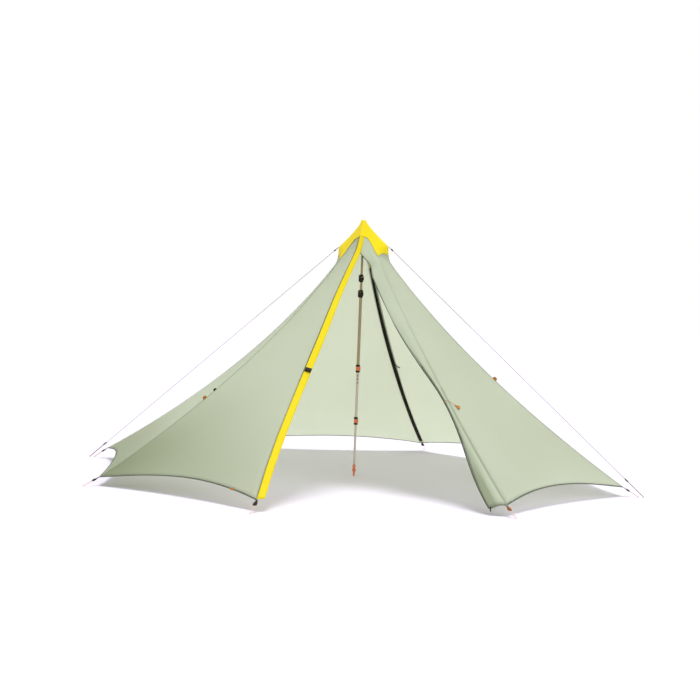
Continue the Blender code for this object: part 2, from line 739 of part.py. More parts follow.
def pole():
    """The telescoping centre pole: five tubes, four lever locks, foot and tip."""
    thick, middle, thin = POLE_THICK_RADIUS, POLE_MIDDLE_RADIUS, POLE_THIN_RADIUS
    half = LOCK_HEIGHT / 2
    tip_base = APEX_HEIGHT + CAP_LIFT - FABRIC / 2 - TOUCH_GAP - POLE_TIP_LENGTH
    add_tube("pole_lower_thin_tube", thin, FOOT_HEIGHT + TOUCH_GAP,
             LOWER_LOCK_AT + LOCK_HEIGHT + POLE_INSERT, "grey tube")
    add_tube("pole_lower_middle_tube", middle, LOWER_LOCK_AT + half,
             MIDDLE_LOCK_AT + LOCK_HEIGHT + POLE_INSERT, "grey tube")
    add_tube("pole_thick_tube", thick, MIDDLE_LOCK_AT + half, UPPER_LOCK_AT + half, "bronze tube")
    add_tube("pole_upper_middle_tube", middle, UPPER_LOCK_AT - POLE_INSERT, TOP_LOCK_AT + half, "bronze tube")
    add_tube("pole_upper_thin_tube", thin, TOP_LOCK_AT - POLE_INSERT, tip_base - TOUCH_GAP, "bronze tube")
    add_lock("pole_lower", middle, thin, LOWER_LOCK_AT, False, 250.0, "orange plastic")
    add_lock("pole_middle", thick, middle, MIDDLE_LOCK_AT, False, 250.0, "orange plastic")
    add_lock("pole_upper", thick, middle, UPPER_LOCK_AT, True, 200.0, "black plastic")
    add_lock("pole_top", middle, thin, TOP_LOCK_AT, True, 200.0, "black plastic")
    bore = thin - POLE_WALL - TOUCH_GAP
    foot = [
        (0.0, FOOT_HEIGHT + FOOT_NECK_LENGTH), (bore, FOOT_HEIGHT + FOOT_NECK_LENGTH),
        (bore, FOOT_HEIGHT), (thin, FOOT_HEIGHT), (thin, 0.92 * FOOT_HEIGHT),
        (0.80 * FOOT_RADIUS, 0.86 * FOOT_HEIGHT), (0.88 * FOOT_RADIUS, 0.78 * FOOT_HEIGHT),
        (0.66 * FOOT_RADIUS, 0.68 * FOOT_HEIGHT), (FOOT_RADIUS, 0.60 * FOOT_HEIGHT),
        (FOOT_RADIUS, 0.48 * FOOT_HEIGHT), (0.62 * FOOT_RADIUS, 0.38 * FOOT_HEIGHT),
        (0.50 * FOOT_RADIUS, 0.16 * FOOT_HEIGHT), (FOOT_TIP_RADIUS, 0.0), (0.0, 0.0),
    ]
    add_turned("pole_foot", foot, "orange plastic")
    tip = [
        (0.0, POLE_TIP_LENGTH), (0.6 * POLE_TIP_RADIUS, POLE_TIP_LENGTH),
        (POLE_TIP_RADIUS, 0.7 * POLE_TIP_LENGTH), (POLE_TIP_RADIUS, 0.0), (bore, 0.0),
        (bore, -FOOT_NECK_LENGTH), (0.0, -FOOT_NECK_LENGTH),
    ]
    add_turned("pole_tip", tip, "black plastic", tip_base)


def guy_start(name):
    """Where a guy line leaves its tab on the peak cap."""
    level = outward(name)
    lobe = ridge(name, GUY_SHARE, CAP_LIFT)
    anchor = guy_anchor(name)
    run = (anchor - lobe).normalized()
    return lobe, run, level


def guy_anchor(name):
    """Where a guy line meets the ground, outside its corner."""
    spot = corner(name)
    reach = Vector((spot.x, spot.y, 0.0)).length + GUY_ANCHOR_REACH
    return outward(name) * reach + Vector((0.0, 0.0, GUY_ANCHOR_HEIGHT))


def guy_lines():
    """Guy-out tabs, guy lines that double back from the ground, and their tensioners."""
    for name in ("left", "right"):
        lobe, run, level = guy_start(name)
        side = Vector((0.0, 0.0, 1.0)).cross(level)
        frame = along(lobe, run, side)
        tab_start = FABRIC / 2 + GUY_TAB_GAP
        centre = (tab_start + GUY_TAB_LENGTH / 2, 0.0, 0.0)
        tab = box_mesh("guy_tab", (GUY_TAB_LENGTH, GUY_TAB_WIDTH, GUY_TAB_THICKNESS), centre)
        add_part(name + "_guy_tab", tab, "orange webbing", frame)
        start = tab_start + GUY_TAB_LENGTH + TOUCH_GAP
        total = (guy_anchor(name) - lobe).length
        turn = GUY_LOOP_WIDTH / 2
        bend_at = total - turn
        back_at = total - GUY_LOOP_LENGTH - TENSIONER_LENGTH / 2
        points = []
        for k in range(GUY_POINTS):
            points.append(Vector((start + (bend_at - start) * k / (GUY_POINTS - 1), 0.0, 0.0)))
        for k in range(1, 9):
            angle = math.pi * k / 8
            points.append(Vector((bend_at + turn * math.sin(angle), turn - turn * math.cos(angle), 0.0)))
        for k in range(1, 7):
            points.append(Vector((bend_at + (back_at - bend_at) * k / 6, GUY_LOOP_WIDTH, 0.0)))
        add_cord(name + "_guy_line", [frame @ p for p in points], GUY_RADIUS, "pink cord")
        add_tensioner(name, frame @ Matrix.Translation((total - GUY_LOOP_LENGTH, 0.0, 0.0)))


def add_tensioner(name, place):
    """A guy line tensioner with one bore for each strand."""
    size = (TENSIONER_LENGTH, TENSIONER_WIDTH, TENSIONER_THICKNESS)
    body = box_mesh("tensioner", size, (0.0, GUY_LOOP_WIDTH / 2, 0.0))
    part = add_part(name + "_guy_tensioner", body, "grey plastic", place)
    edge = part.modifiers.new("Edge", "BEVEL")
    edge.width = ADJUSTER_BEVEL
    edge.segments = 2
    length = TENSIONER_LENGTH + OVERRUN
    for beside in (0.0, GUY_LOOP_WIDTH):
        bore = rod_mesh(
            name + "_bore", GUY_RADIUS + TENSIONER_BORE_CLEARANCE, length, (0.0, beside, 0.0), "X", 12
        )
        add_cutter(part, bore, "DIFFERENCE")


def stake_point(name):
    """Where a stake loop meets the ground."""
    spot = corner(name)
    reach = Vector((spot.x, spot.y, 0.0)).length + ANCHOR_REACH
    return outward(name) * reach + Vector((0.0, 0.0, LOOP_RADIUS))


def corner_frame(name):
    """Frame of a corner adjuster: X from the hem corner down to the ground."""
    start = corner(name)
    return along(start, stake_point(name) - start, Vector((0.0, 0.0, 1.0)).cross(outward(name)))


def adjuster_mesh():
    """One corner adjuster: a sewn strap end in a bevelled block with two cord bores."""
    length = ADJUSTER_LENGTH
    middle = LOCK_GAP + STRAP_LENGTH + length / 2
    block = box_mesh("adjuster", (length, ADJUSTER_WIDTH, ADJUSTER_THICKNESS), (middle, 0.0, 0.0))
    part = add_part("adjuster_master", block, "black plastic")
    edge = part.modifiers.new("Edge", "BEVEL")
    edge.width = ADJUSTER_BEVEL
    edge.segments = 1
    strap_centre = (LOCK_GAP + (STRAP_LENGTH + OVERRUN) / 2, 0.0, 0.0)
    strap = box_mesh("strap", (STRAP_LENGTH + OVERRUN, STRAP_WIDTH, STRAP_THICKNESS), strap_centre)
    add_cutter(part, strap, "UNION")
    depth = LOOP_ENTRY + LOOP_TRAVEL_IN + TOUCH_GAP
    outer = LOCK_GAP + STRAP_LENGTH + length
    for sign in (-1.0, 1.0):
        centre = (outer + (OVERRUN - depth) / 2, sign * LOOP_WIDTH / 2, 0.0)
        radius = LOOP_RADIUS + LOOP_BORE_CLEARANCE
        bore = rod_mesh("loop_bore", radius, depth + OVERRUN, centre, "X", 12)
        add_cutter(part, bore, "DIFFERENCE")
    return applied(part)


def loop_points(length):
    """A stake loop in its corner's frame: out of one bore, round the stake and back."""
    turn = LOOP_WIDTH / 2
    start = LOCK_GAP + STRAP_LENGTH + ADJUSTER_LENGTH - LOOP_ENTRY
    bend_at = length - turn
    side = LOOP_POINTS // 3
    points = [Vector((start + (bend_at - start) * k / side, -turn, 0.0)) for k in range(side + 1)]
    for k in range(1, side):
        angle = math.pi * k / side
        points.append(Vector((bend_at + turn * math.sin(angle), -turn * math.cos(angle), 0.0)))
    points += [Vector((bend_at + (start - bend_at) * k / side, turn, 0.0)) for k in range(side + 1)]
    return points


def corner_hardware():
    """An adjuster and a stake loop at each corner."""
    master = adjuster_mesh()
    for name in CORNERS:
        frame = corner_frame(name)
        add_part(name + "_corner_adjuster", master, "black plastic", frame)
        length = (stake_point(name) - corner(name)).length
        add_cord(name + "_stake_loop", loop_points(length), LOOP_RADIUS, "orange webbing", frame)


def toggle_frame():
    """Frame of the door toggle, on the outside of the wall right of the tied door."""
    length = (corner("front_right") - ridge("front_right", 0.0)).length
    down = DOOR_TIE_SHARE + TOGGLE_DROP / length
    width = (ridge("right", down) - ridge("front_right", down)).length
    place = wall_place("right", "front_right")
    across = 1.0 - TOGGLE_DISTANCE / width
    spot = place(across, down)
    side = place(across - WALL_STEP, down) - place(across + WALL_STEP, down)
    run = place(across, down + WALL_STEP) - place(across, down - WALL_STEP)
    out = run.cross(side).normalized()
    if out.dot(outward("front_right")) < 0.0:
        out = -out
    away = spot - ridge("front_right", DOOR_TIE_SHARE)
    away -= out * away.dot(out)
    lift = FABRIC / 2 + TOUCH_GAP + TOGGLE_LIFT + TOGGLE_THICKNESS / 2
    return along(spot + out * lift, away, out.cross(away))


def door_tie():
    """The elastic cord round the gathered door, and its triangular toggle."""
    frame = toggle_frame()
    bm = bmesh.new()
    bmesh.ops.create_cone(
        bm, cap_ends=True, segments=3, radius1=TOGGLE_SIDE / math.sqrt(3.0),
        radius2=TOGGLE_SIDE / math.sqrt(3.0), depth=TOGGLE_THICKNESS,
    )
    point_away = Matrix.Rotation(-math.pi / 2, 3, "Z")
    bmesh.ops.rotate(bm, verts=bm.verts, cent=(0.0, 0.0, 0.0), matrix=point_away)
    toggle = add_part("door_toggle", mesh_from(bm, "toggle"), "orange webbing", frame)
    edge = toggle.modifiers.new("Edge", "BEVEL")
    edge.width = ADJUSTER_BEVEL
    edge.segments = 2
    seam, across, inward = door_frame(DOOR_TIE_SHARE)
    width, depth, folded = door_section(DOOR_TIE_SHARE)
    deep = DOOR_LEGS * depth
    wall_out = frame.col[2].to_3d()
    rise = wall_out * (FABRIC / 2 + TOUCH_GAP + TIE_CORD_RADIUS)
    tip = frame @ Vector((-TOGGLE_SIDE / math.sqrt(12.0) - TOUCH_GAP, 0.0, 0.0))
    half_way = seam.lerp(tip, 0.5) + rise
    over = seam - inward * (TIE_CLEARANCE + TIE_CORD_RADIUS)
    away = TIE_CLEARANCE
    round_door = [
        (0.5 * width, -away), (width + away, 0.1 * deep), (width + away, 0.6 * deep),
        (width + 0.5 * away, deep + 0.6 * away), (0.5 * width, deep + away), (0.1 * width, deep + away),
    ]
    wrap = [seam + across * sideways + inward * inwards for sideways, inwards in round_door]
    points = smooth_route([tip, half_way, over] + wrap, TIE_POINTS)
    add_cord("door_tie_cord", points, TIE_CORD_RADIUS, "pink cord")


def tab_frame(name, share, lift):
    """Frame on the outside of a ridge: X down the ridge, Z outwards."""
    run = ridge_run(name, share)
    side = Vector((0.0, 0.0, 1.0)).cross(outward(name))
    frame = along(ridge(name, share), run, side)
    if frame.col[2].to_3d().dot(outward(name)) < 0.0:
        frame = along(ridge(name, share), run, -side)
    return frame @ Matrix.Translation((0.0, 0.0, lift))


def buckle_frame():
    """Frame of the buckle, flat on the middle of the front flap: X down the ridge, Z outwards."""
    share = FLAP_BUCKLE_SHARE
    side = ridge("front_right", share) - ridge("front", share)
    spot = seam_point("front", "front_right", share, flap_width(share) / 2 - FLAP_FOLD_WIDTH, FLAP_LIFT)
    frame = along(spot, ridge_run("front", share), side)
    if frame.col[2].to_3d().dot(outward("front")) < 0.0:
        frame = along(spot, ridge_run("front", share), -side)
    return frame @ Matrix.Translation((0.0, 0.0, FABRIC / 2 + TOUCH_GAP + FLAP_BUCKLE_THICKNESS / 2))


def trim():
    """Tabs on two ridges, the flap buckle and the toggle of the door's free corner."""
    tab_lift = FABRIC / 2 + TAB_LIFT + TAB_THICKNESS / 2
    tab = box_mesh("ridge_tab", (TAB_LENGTH, TAB_WIDTH, TAB_THICKNESS))
    for name, share in (("front_left", LEFT_TAB_SHARE), ("right", RIGHT_TAB_SHARE)):
        add_part(name + "_ridge_tab", tab, "orange webbing", tab_frame(name, share, tab_lift))
    size = (FLAP_BUCKLE_LENGTH, FLAP_BUCKLE_WIDTH, FLAP_BUCKLE_THICKNESS)
    buckle = add_part("flap_buckle", box_mesh("flap_buckle", size), "black plastic", buckle_frame())
    edge = buckle.modifiers.new("Edge", "BEVEL")
    edge.width = ADJUSTER_BEVEL
    edge.segments = 2
    seam, across, inward = door_frame(1.0)
    width, depth, folded = door_section(1.0)
    drop = Vector((0.0, 0.0, -1.0))
    start = seam + across * (SEAM_INSET + width) + inward * depth
    centre = start + drop * (FABRIC + TOUCH_GAP + CORNER_TOGGLE_LENGTH / 2)
    rod = rod_mesh("corner_toggle", CORNER_TOGGLE_RADIUS, CORNER_TOGGLE_LENGTH)
    add_part("door_corner_toggle", rod, "black plastic", Matrix.Translation(centre))


walls()
peak_cap()
flaps_and_zips()
zip_sliders()
pole()
guy_lines()
corner_hardware()
door_tie()
trim()
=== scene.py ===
"""Looks of a pyramid tent: coated ripstop cloth pitched on a telescoping centre pole.

Metres, +Z up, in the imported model's frame. -Y is the open front ridge, +Y the closed back
ridge, and the guy lines run to -X and +X.
"""

import math

import bmesh
import bpy
from mathutils import Matrix, Vector, noise


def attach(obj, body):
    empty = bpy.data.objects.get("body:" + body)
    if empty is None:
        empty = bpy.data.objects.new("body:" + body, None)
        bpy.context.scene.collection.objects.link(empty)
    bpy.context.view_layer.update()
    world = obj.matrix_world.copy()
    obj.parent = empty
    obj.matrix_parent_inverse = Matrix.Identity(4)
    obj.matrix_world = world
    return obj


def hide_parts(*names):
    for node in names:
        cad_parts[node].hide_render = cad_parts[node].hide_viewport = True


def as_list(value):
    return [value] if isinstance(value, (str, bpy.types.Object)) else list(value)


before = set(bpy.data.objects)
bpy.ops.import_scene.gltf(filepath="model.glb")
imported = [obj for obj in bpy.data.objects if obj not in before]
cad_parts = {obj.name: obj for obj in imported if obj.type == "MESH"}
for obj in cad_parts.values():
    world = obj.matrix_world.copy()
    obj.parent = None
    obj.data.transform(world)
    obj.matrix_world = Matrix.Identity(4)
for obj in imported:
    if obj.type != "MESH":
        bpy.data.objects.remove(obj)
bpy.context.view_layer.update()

UP = Vector((0.0, 0.0, 1.0))

# The canopy's seams, as in the part's source
APEX_HEIGHT = 1.700
TOP_RADIUS = 0.013
SAG_SKEW = 0.75
RIDGE_SAGS = {
    "front": 0.010, "front_left": 0.060, "left": 0.068, "back_left": 0.060,
    "back": 0.060, "back_right": 0.056, "right": 0.052, "front_right": 0.028,
}
STATIONS = (
    0.0, 0.022, 0.043, 0.063, 0.080, 0.097, 0.112, 0.128, 0.152, 0.190, 0.240, 0.300,
    0.370, 0.450, 0.530, 0.610, 0.700, 0.800, 0.900, 1.0,
)
FRONT_BOWS = (
    0.0, 0.0024, 0.0044, 0.0064, 0.0080, 0.0092, 0.0100, 0.0096, 0.0080, 0.0048, 0.0012, -0.0020,
    -0.0036, -0.0048, -0.0068, -0.0088, -0.0100, -0.0100, -0.0068, 0.0,
)
HEM_ARC = 0.040
PEAK_SHARE = 0.012
CORNERS = {
    "front": (-0.02024, -1.85840, 0.0600),
    "front_left": (-1.2052, -1.36160, 0.0510),
    "left": (-1.8032, 0.01840, 0.0690),
    "back_left": (-1.2880, 1.31560, 0.0600),
    "back": (0.0, 1.95040, 0.0600),
    "back_right": (1.2880, 1.29720, 0.0600),
    "right": (1.7756, -0.01840, 0.0570),
    "front_right": (1.2604, -1.29904, 0.0600),
}
NAMES = list(CORNERS)
WALLS = list(zip(NAMES, NAMES[1:]))
SEWN_RIDGES = ("front_left", "left", "back_left", "back_right", "right")

# Walls: how far they are drawn in, and the folds that fan out from their corners
CANOPY_FLAT_HEIGHT = 2.53
CLOTH = 0.0006
DOUBLED_CLOTH = 0.0005
WALL_COLUMNS = 22
WALL_ROWS = 84
WALL_DIP = 0.012
WALL_UNEVENNESS = 0.0035
CREASE_START = 0.02
CREASE_END = 1.10
CREASE_DEPTH = 0.0050
CREASE_FADE = 0.32
CREASES_PER_RADIAN = 11.0

# Seams, hem bindings and stitches
SEAM_WIDTH = 0.012
SEAM_LIFT = 0.0012
SEAM_TOP = 0.115
DOOR_SEAM_TOP = 0.60
BINDING_WIDTH = 0.009
BINDING_LIFT = 0.0010
BINDING_THICKNESS = 0.0004
BINDING_STEPS = 60
STITCH_PITCH = 0.009
STITCH = (0.0009, 0.0007, 0.0062)
FLAP_STITCH_ROWS = (0.56, 0.95)
FLAP_STITCH_LIFT = 0.0040

# Guy-outs of the cap
GUY_SHARE = 0.097
GUY_FLARE = 0.052
FLARE_ABOVE = 0.097
FLARE_BELOW = 0.040
FLARE_POWER = 1.8
GUY_START = 0.0225
GUY_RADIUS = 0.0012
GUY_LOOP_WIDTH = 0.011
GUY_LOOP_LENGTH = 0.150
TENSIONER_LENGTH = 0.026
GUY_REACH = 0.130
GUY_ANCHOR_HEIGHT = 0.0022
GUY_BEAD = (0.0052, 0.018)
GUY_BEAD_AT = 0.034
GUY_END_KNOT = (0.0026, 0.008)

# Stake loops: their frames run from the hem corner to the stake
STAKE_REACH = 0.100
LOOP_RADIUS = 0.0015
LOOP_WIDTH = 0.013
LOOP_START = 0.0406

# The gathered door: shares down its ridge, widths and turns of its strip, steps of its cloth
DOOR_CLOSED = 0.097
DOOR_FOLDED = 0.167
DOOR_NARROWING = 0.360
DOOR_TIE_SHARE = 0.650
DOOR_TOP_WIDTH = 0.088
DOOR_TIED_WIDTH = 0.014
DOOR_HEM_WIDTH = 0.090
DOOR_TOP_TURN = 0.012
DOOR_TIED_TURN = 0.006
DOOR_HEM_TURN = 0.028
DOOR_STACK = 0.012
DOOR_ROLL_WIDTH = 0.040
DOOR_ROLL_LIFT = 0.0055
DOOR_WAVE = 0.0026
DOOR_INNER_LEGS = 15
DOOR_OUTER_STEPS = 8
DOOR_INNER_STEPS = 6
DOOR_STEPS = 2 * DOOR_OUTER_STEPS + DOOR_INNER_LEGS * DOOR_INNER_STEPS
DOOR_ROWS = 100
DOOR_OUTWARD = Vector((0.3, -0.6, 0.7))
DOOR_FLAT_HEIGHT = 2.50

# The elastic round the gathered door
TIE_RADIUS = 0.0012
TIE_ROUTE = (
    (0.84043, -0.78417, 0.56694), (0.81939, -0.80260, 0.58094), (0.79767, -0.82392, 0.59682),
    (0.79095, -0.82611, 0.59613), (0.77794, -0.82686, 0.59115), (0.77486, -0.82064, 0.58328),
    (0.77379, -0.81284, 0.57466), (0.78185, -0.80772, 0.57289), (0.78694, -0.80540, 0.57273),
)
TIE_POINTS = 44
TOGGLE_REACH = 0.0260
TOGGLE_THICKNESS = 0.005
TOGGLE_TURN = 10.0
TOGGLE_EDGE = 0.0014

# The peak cap. Its edges are shares down the ridges, at even steps from a diagonal ridge
CAP_LIFT = 0.0020
CAP_PUFF = 0.0015
CAP_HEM_WIDTH = 0.0036
CAP_FRONT_EDGE = (0.128, 0.078, 0.064, 0.063, 0.063, 0.063, 0.063)
CAP_SIDE_EDGE = (0.128, 0.121, 0.116, 0.113, 0.112, 0.113, 0.116)
CAP_COLUMNS = 12
CAP_ROWS = 16

# Storm flaps and zips
FLAP_TOP = 0.0642
FLAP_SEWN_WIDTH = 0.003
FLAP_TOP_WIDTH = 0.031
FLAP_LOW_WIDTH = 0.043
BACK_FLAP_HALF = 0.017
FLAP_LIFT = 0.0018
FLAP_PUFF = 0.0030
FLAP_LOOSE = 0.0026
PIPING_WIDTH = 0.0125
ZIP_TAPE_WIDTH = 0.012
ZIP_TAPE_LIFT = -0.0014
ZIP_TAPE_THICKNESS = 0.0008
ZIP_BACKING_WIDTH = 0.030
DOOR_TAPE_WIDTH = 0.005
COIL_PITCH = 0.004
ZIP_COIL = (0.0046, 0.0020, 0.0022)
DOOR_COIL = (0.0030, 0.0018, 0.0022)

# Tabs, the strap beside the back zip, with its slope and width as shares of the ridge, and the buckle
RIDGE_TAB = (0.030, 0.015, 0.0036)
DARK_TAB = (0.022, 0.009, 0.0036)
RIDGE_TAB_LIFT = 0.0014
HEM_TAB = (0.024, 0.014, 0.0030)
HEM_TAB_ACROSS = 0.165
HEM_TAB_RISE = -0.006
STRAP_SHARE = 0.5270
STRAP_SLOPE = 0.0150
STRAP_WIDTH = 0.0060
STRAP_START = 0.015
STRAP_LENGTH = 0.040
STRAP_LIFT = 0.004
STRAP_BOW = 0.005
BUCKLE_SHARE = 0.574
BUCKLE_LIFT = 0.0032
BUCKLE_BARS = (-0.017, -0.0115, -0.003, 0.003, 0.0115, 0.017)
BUCKLE_RAILS = (-0.0195, -0.0135, 0.0135, 0.0195)
BUCKLE_SLOTS = ((1, 1), (3, 1))
BUCKLE_THICKNESS = 0.0052
BUCKLE_EDGE = 0.0009
SHARP_ANGLE = 0.6

# Marks of the pole
POLE_FRONT = Vector((0.271, -0.962, 0.0))
MARK_HEIGHTS = (0.6236, 0.6480, 0.6700)
MARK_HALF = 0.0042
MARK_INK = 0.00008
MARK_STEPS = 8
MARK_TAPER = 0.94
BUTTON_THICKNESS = 0.0012


def linear(code):
    """One sRGB hex colour as linear red, green, blue and alpha."""
    parts = [int(code[i : i + 2], 16) / 255.0 for i in (1, 3, 5)]
    return [c / 12.92 if c <= 0.04045 else ((c + 0.055) / 1.055) ** 2.4 for c in parts] + [1.0]


def adder(tree):
    """The function that adds one node to a tree, with its settings and what feeds it."""

    def add(kind, inputs=None, **settings):
        """An input is a value, the socket that feeds it, or a node whose first output does."""
        made = tree.nodes.new(kind)
        for name, value in settings.items():
            setattr(made, name, value)
        for socket, value in (inputs or {}).items():
            source = value.outputs[0] if isinstance(value, bpy.types.Node) else value
            if isinstance(source, bpy.types.NodeSocket):
                tree.links.new(source, made.inputs[socket])
            else:
                made.inputs[socket].default_value = source
        return made

    return add


def new_material(name):
    """An empty node material and the function that adds its nodes."""
    made = bpy.data.materials.new(name)
    made.use_nodes = True
    made.node_tree.nodes.clear()
    return made, adder(made.node_tree)


# Camera, lights and floor


def place_camera():
    """The photograph's camera, fitted to the hem corners, the ridges and the pole."""
    data = bpy.data.cameras.new("camera")
    data.sensor_width = 36.0
    data.lens = 77.14
    data.clip_end = 200.0
    camera = bpy.data.objects.new("camera", data)
    bpy.context.scene.collection.objects.link(camera)
    heading = Matrix.Rotation(math.radians(16.067), 4, "Z")
    pitch = Matrix.Rotation(math.radians(90.0 - 2.026), 4, "X")
    roll = Matrix.Rotation(math.radians(2.228), 4, "Z")
    camera.matrix_world = Matrix.Translation((2.697, -9.571, 1.191)) @ heading @ pitch @ roll
    bpy.context.scene.camera = camera


def place_lights():
    """Even daylight from all round, a soft sun high behind the tent and a weak one from the right.
    The world is white where it is seen, and dimmer as a light."""
    bpy.context.scene.view_settings.view_transform = "Standard"
    world = bpy.data.worlds.new("studio")
    bpy.context.scene.world = world
    world.use_nodes = True
    world.node_tree.nodes.clear()
    add = adder(world.node_tree)
    path = add("ShaderNodeLightPath").outputs
    inputs = {0: path["Is Camera Ray"], 1: path["Is Glossy Ray"]}
    seen = add("ShaderNodeMath", inputs, operation="MAXIMUM")
    seen = add("ShaderNodeMath", {0: seen, 1: path["Is Transmission Ray"]}, operation="MAXIMUM")
    level = add("ShaderNodeMapRange", {"Value": seen, "To Min": 0.60, "To Max": 1.0})
    light = add("ShaderNodeBackground", {"Color": linear("#FFFFFF"), "Strength": level})
    add("ShaderNodeOutputWorld", {"Surface": light})
    suns = (
        ("sun_above", (-0.03, 0.15, 1.0), 22.0, 1.72),
        ("sun_right", (0.77, -0.30, 0.57), 40.0, 0.55),
    )
    for name, towards, width, power in suns:
        data = bpy.data.lights.new(name, "SUN")
        data.angle = math.radians(width)
        data.energy = power
        sun = bpy.data.objects.new(name, data)
        sun.matrix_world = Vector(towards).to_track_quat("Z", "Y").to_matrix().to_4x4()
        bpy.context.scene.collection.objects.link(sun)


def lay_floor():
    """A plain floor that keeps the tent's soft shadow. It is very faintly lilac, so that the green
    light through the cloth leaves the shadow grey."""
    made, add = new_material("matt_white_floor")
    surface = add("ShaderNodeBsdfDiffuse", {"Color": linear("#F2ECFB"), "Roughness": 0.0})
    add("ShaderNodeOutputMaterial", {"Surface": surface})
    data = bpy.data.meshes.new("floor")
    half = 60.0
    edge = [(-half, -half, 0.0), (half, -half, 0.0), (half, half, 0.0), (-half, half, 0.0)]
    data.from_pydata(edge, [], [(0, 1, 2, 3)])
    data.materials.append(made)
    floor = bpy.data.objects.new("floor", data)
    bpy.context.scene.collection.objects.link(floor)


# Materials


def coated_ripstop(name, colour, shade, behind, see_through, gloss=0.5):
    """Silicone-coated ripstop nylon, woven and calendered: a smooth satin cloth that light shines
    through, with a fine square grid of thicker threads every 6 mm. Painted shade: its colour and the
    light through it are darker where the mesh's own in_shade attribute says so."""
    made, add = new_material(name)

    def darkened(share, first, second):
        inputs = {0: share, 6: first, 7: linear(second)}
        return add("ShaderNodeMix", inputs, data_type="RGBA", blend_type="MULTIPLY").outputs[2]

    cut = add("ShaderNodeUVMap", uv_map="cut")
    split = add("ShaderNodeSeparateXYZ", {"Vector": cut}).outputs
    spacing = 0.006
    edges = {"From Min": 0.0002, "From Max": 0.0006, "To Min": 1.0, "To Max": 0.0}
    folds = [
        add("ShaderNodeMath", {0: split[axis], 1: spacing / 2}, operation="PINGPONG")
        for axis in ("X", "Y")
    ]
    lines = [add("ShaderNodeMapRange", {"Value": fold, **edges}) for fold in folds]
    grid = add("ShaderNodeMath", {0: lines[0], 1: lines[1]}, operation="MAXIMUM")
    threads = add("ShaderNodeMath", {0: grid, 1: 0.12}, operation="MULTIPLY")
    # Soft patches of the dye, about 0.8 m across
    spot = add("ShaderNodeTexCoord").outputs["Object"]
    patches = {"Vector": spot, "Scale": 1.3, "Detail": 3.0, "Roughness": 0.5}
    cloud = add("ShaderNodeTexNoise", patches)
    soft = add("ShaderNodeMapRange", {"Value": cloud, "From Min": 0.35, "From Max": 0.65})
    dyed = {0: soft, 6: linear(colour), 7: linear(shade)}
    base = add("ShaderNodeMix", dyed, data_type="RGBA").outputs[2]
    # Painted shade: the in_shade attribute darkens the cloth's colour and the light through it towards
    # a darker sage
    painted_shade = add("ShaderNodeAttribute", attribute_name="in_shade").outputs["Fac"]
    cloth = darkened(painted_shade, darkened(threads, base, "#8C8C8C"), "#A6AF82")
    through = darkened(painted_shade, linear(behind), "#A6AF82")
    # The plain weave, drawn 1.1 mm coarse so that it shows
    weave = add("ShaderNodeTexNoise", {"Vector": cut, "Scale": 900.0, "Detail": 1.0})
    relief = add("ShaderNodeMath", {0: weave, 1: 0.35, 2: grid}, operation="MULTIPLY_ADD")
    bump = add("ShaderNodeBump", {"Height": relief, "Strength": 0.25, "Distance": 0.0003})
    rough = add("ShaderNodeMapRange", {"Value": cloud, "To Min": 0.46, "To Max": 0.60})
    front = add("ShaderNodeBsdfPrincipled", {
        "Base Color": cloth, "Roughness": rough, "Normal": bump, "IOR": 1.42,
        "Specular IOR Level": gloss, "Sheen Weight": 0.16 * gloss, "Sheen Roughness": 0.4,
    })
    glow = add("ShaderNodeBsdfTranslucent", {"Color": through})
    both = add("ShaderNodeMixShader", {0: see_through, 1: front, 2: glow})
    add("ShaderNodeOutputMaterial", {"Surface": both})
    return made


def finish_surface(add, share, first, second, relief, strength, depth, values):
    """A surface of two colours mixed by one pattern, with the relief of another pressed in."""
    mixed = {0: share, 6: linear(first), 7: linear(second)}
    base = add("ShaderNodeMix", mixed, data_type="RGBA").outputs[2]
    bump = add("ShaderNodeBump", {"Height": relief, "Strength": strength, "Distance": depth})
    surface = add("ShaderNodeBsdfPrincipled", {"Base Color": base, "Normal": bump, **values})
    add("ShaderNodeOutputMaterial", {"Surface": surface})


def woven_tape(name, colour, dark, thread):
    """Woven nylon or polyester tape: matt, with diagonal ribs of the given thread spacing."""
    made, add = new_material(name)
    spot = add("ShaderNodeTexCoord").outputs["Object"]
    ribs = add(
        "ShaderNodeTexWave",
        {"Vector": spot, "Scale": 0.5 / thread, "Distortion": 0.6, "Detail": 1.0, "Detail Scale": 2.0},
        wave_type="BANDS", bands_direction="DIAGONAL",
    ).outputs["Fac"]
    finish_surface(add, ribs, dark, colour, ribs, 0.5, 0.0004, {
        "Roughness": 0.86, "Specular IOR Level": 0.3, "Sheen Weight": 0.05, "Sheen Roughness": 0.5,
    })
    return made


def moulded_acetal(name, colour, worn):
    """Injection-moulded acetal: satin, with a spark-eroded grain every 0.4 mm and paler rubbed
    spots about 11 mm across."""
    made, add = new_material(name)
    spot = add("ShaderNodeTexCoord").outputs["Object"]
    grain = add("ShaderNodeTexNoise", {"Vector": spot, "Scale": 2500.0, "Detail": 2.0})
    rub = add("ShaderNodeTexNoise", {"Vector": spot, "Scale": 90.0, "Detail": 3.0})
    spots = {"Value": rub, "From Min": 0.55, "From Max": 0.75, "To Max": 0.5}
    rubbed = add("ShaderNodeMapRange", spots)
    rough = add("ShaderNodeMapRange", {"Value": rub, "To Min": 0.36, "To Max": 0.50})
    satin = {"Roughness": rough, "IOR": 1.48, "Specular IOR Level": 0.3}
    finish_surface(add, rubbed, colour, worn, grain, 0.2, 0.0002, satin)
    return made


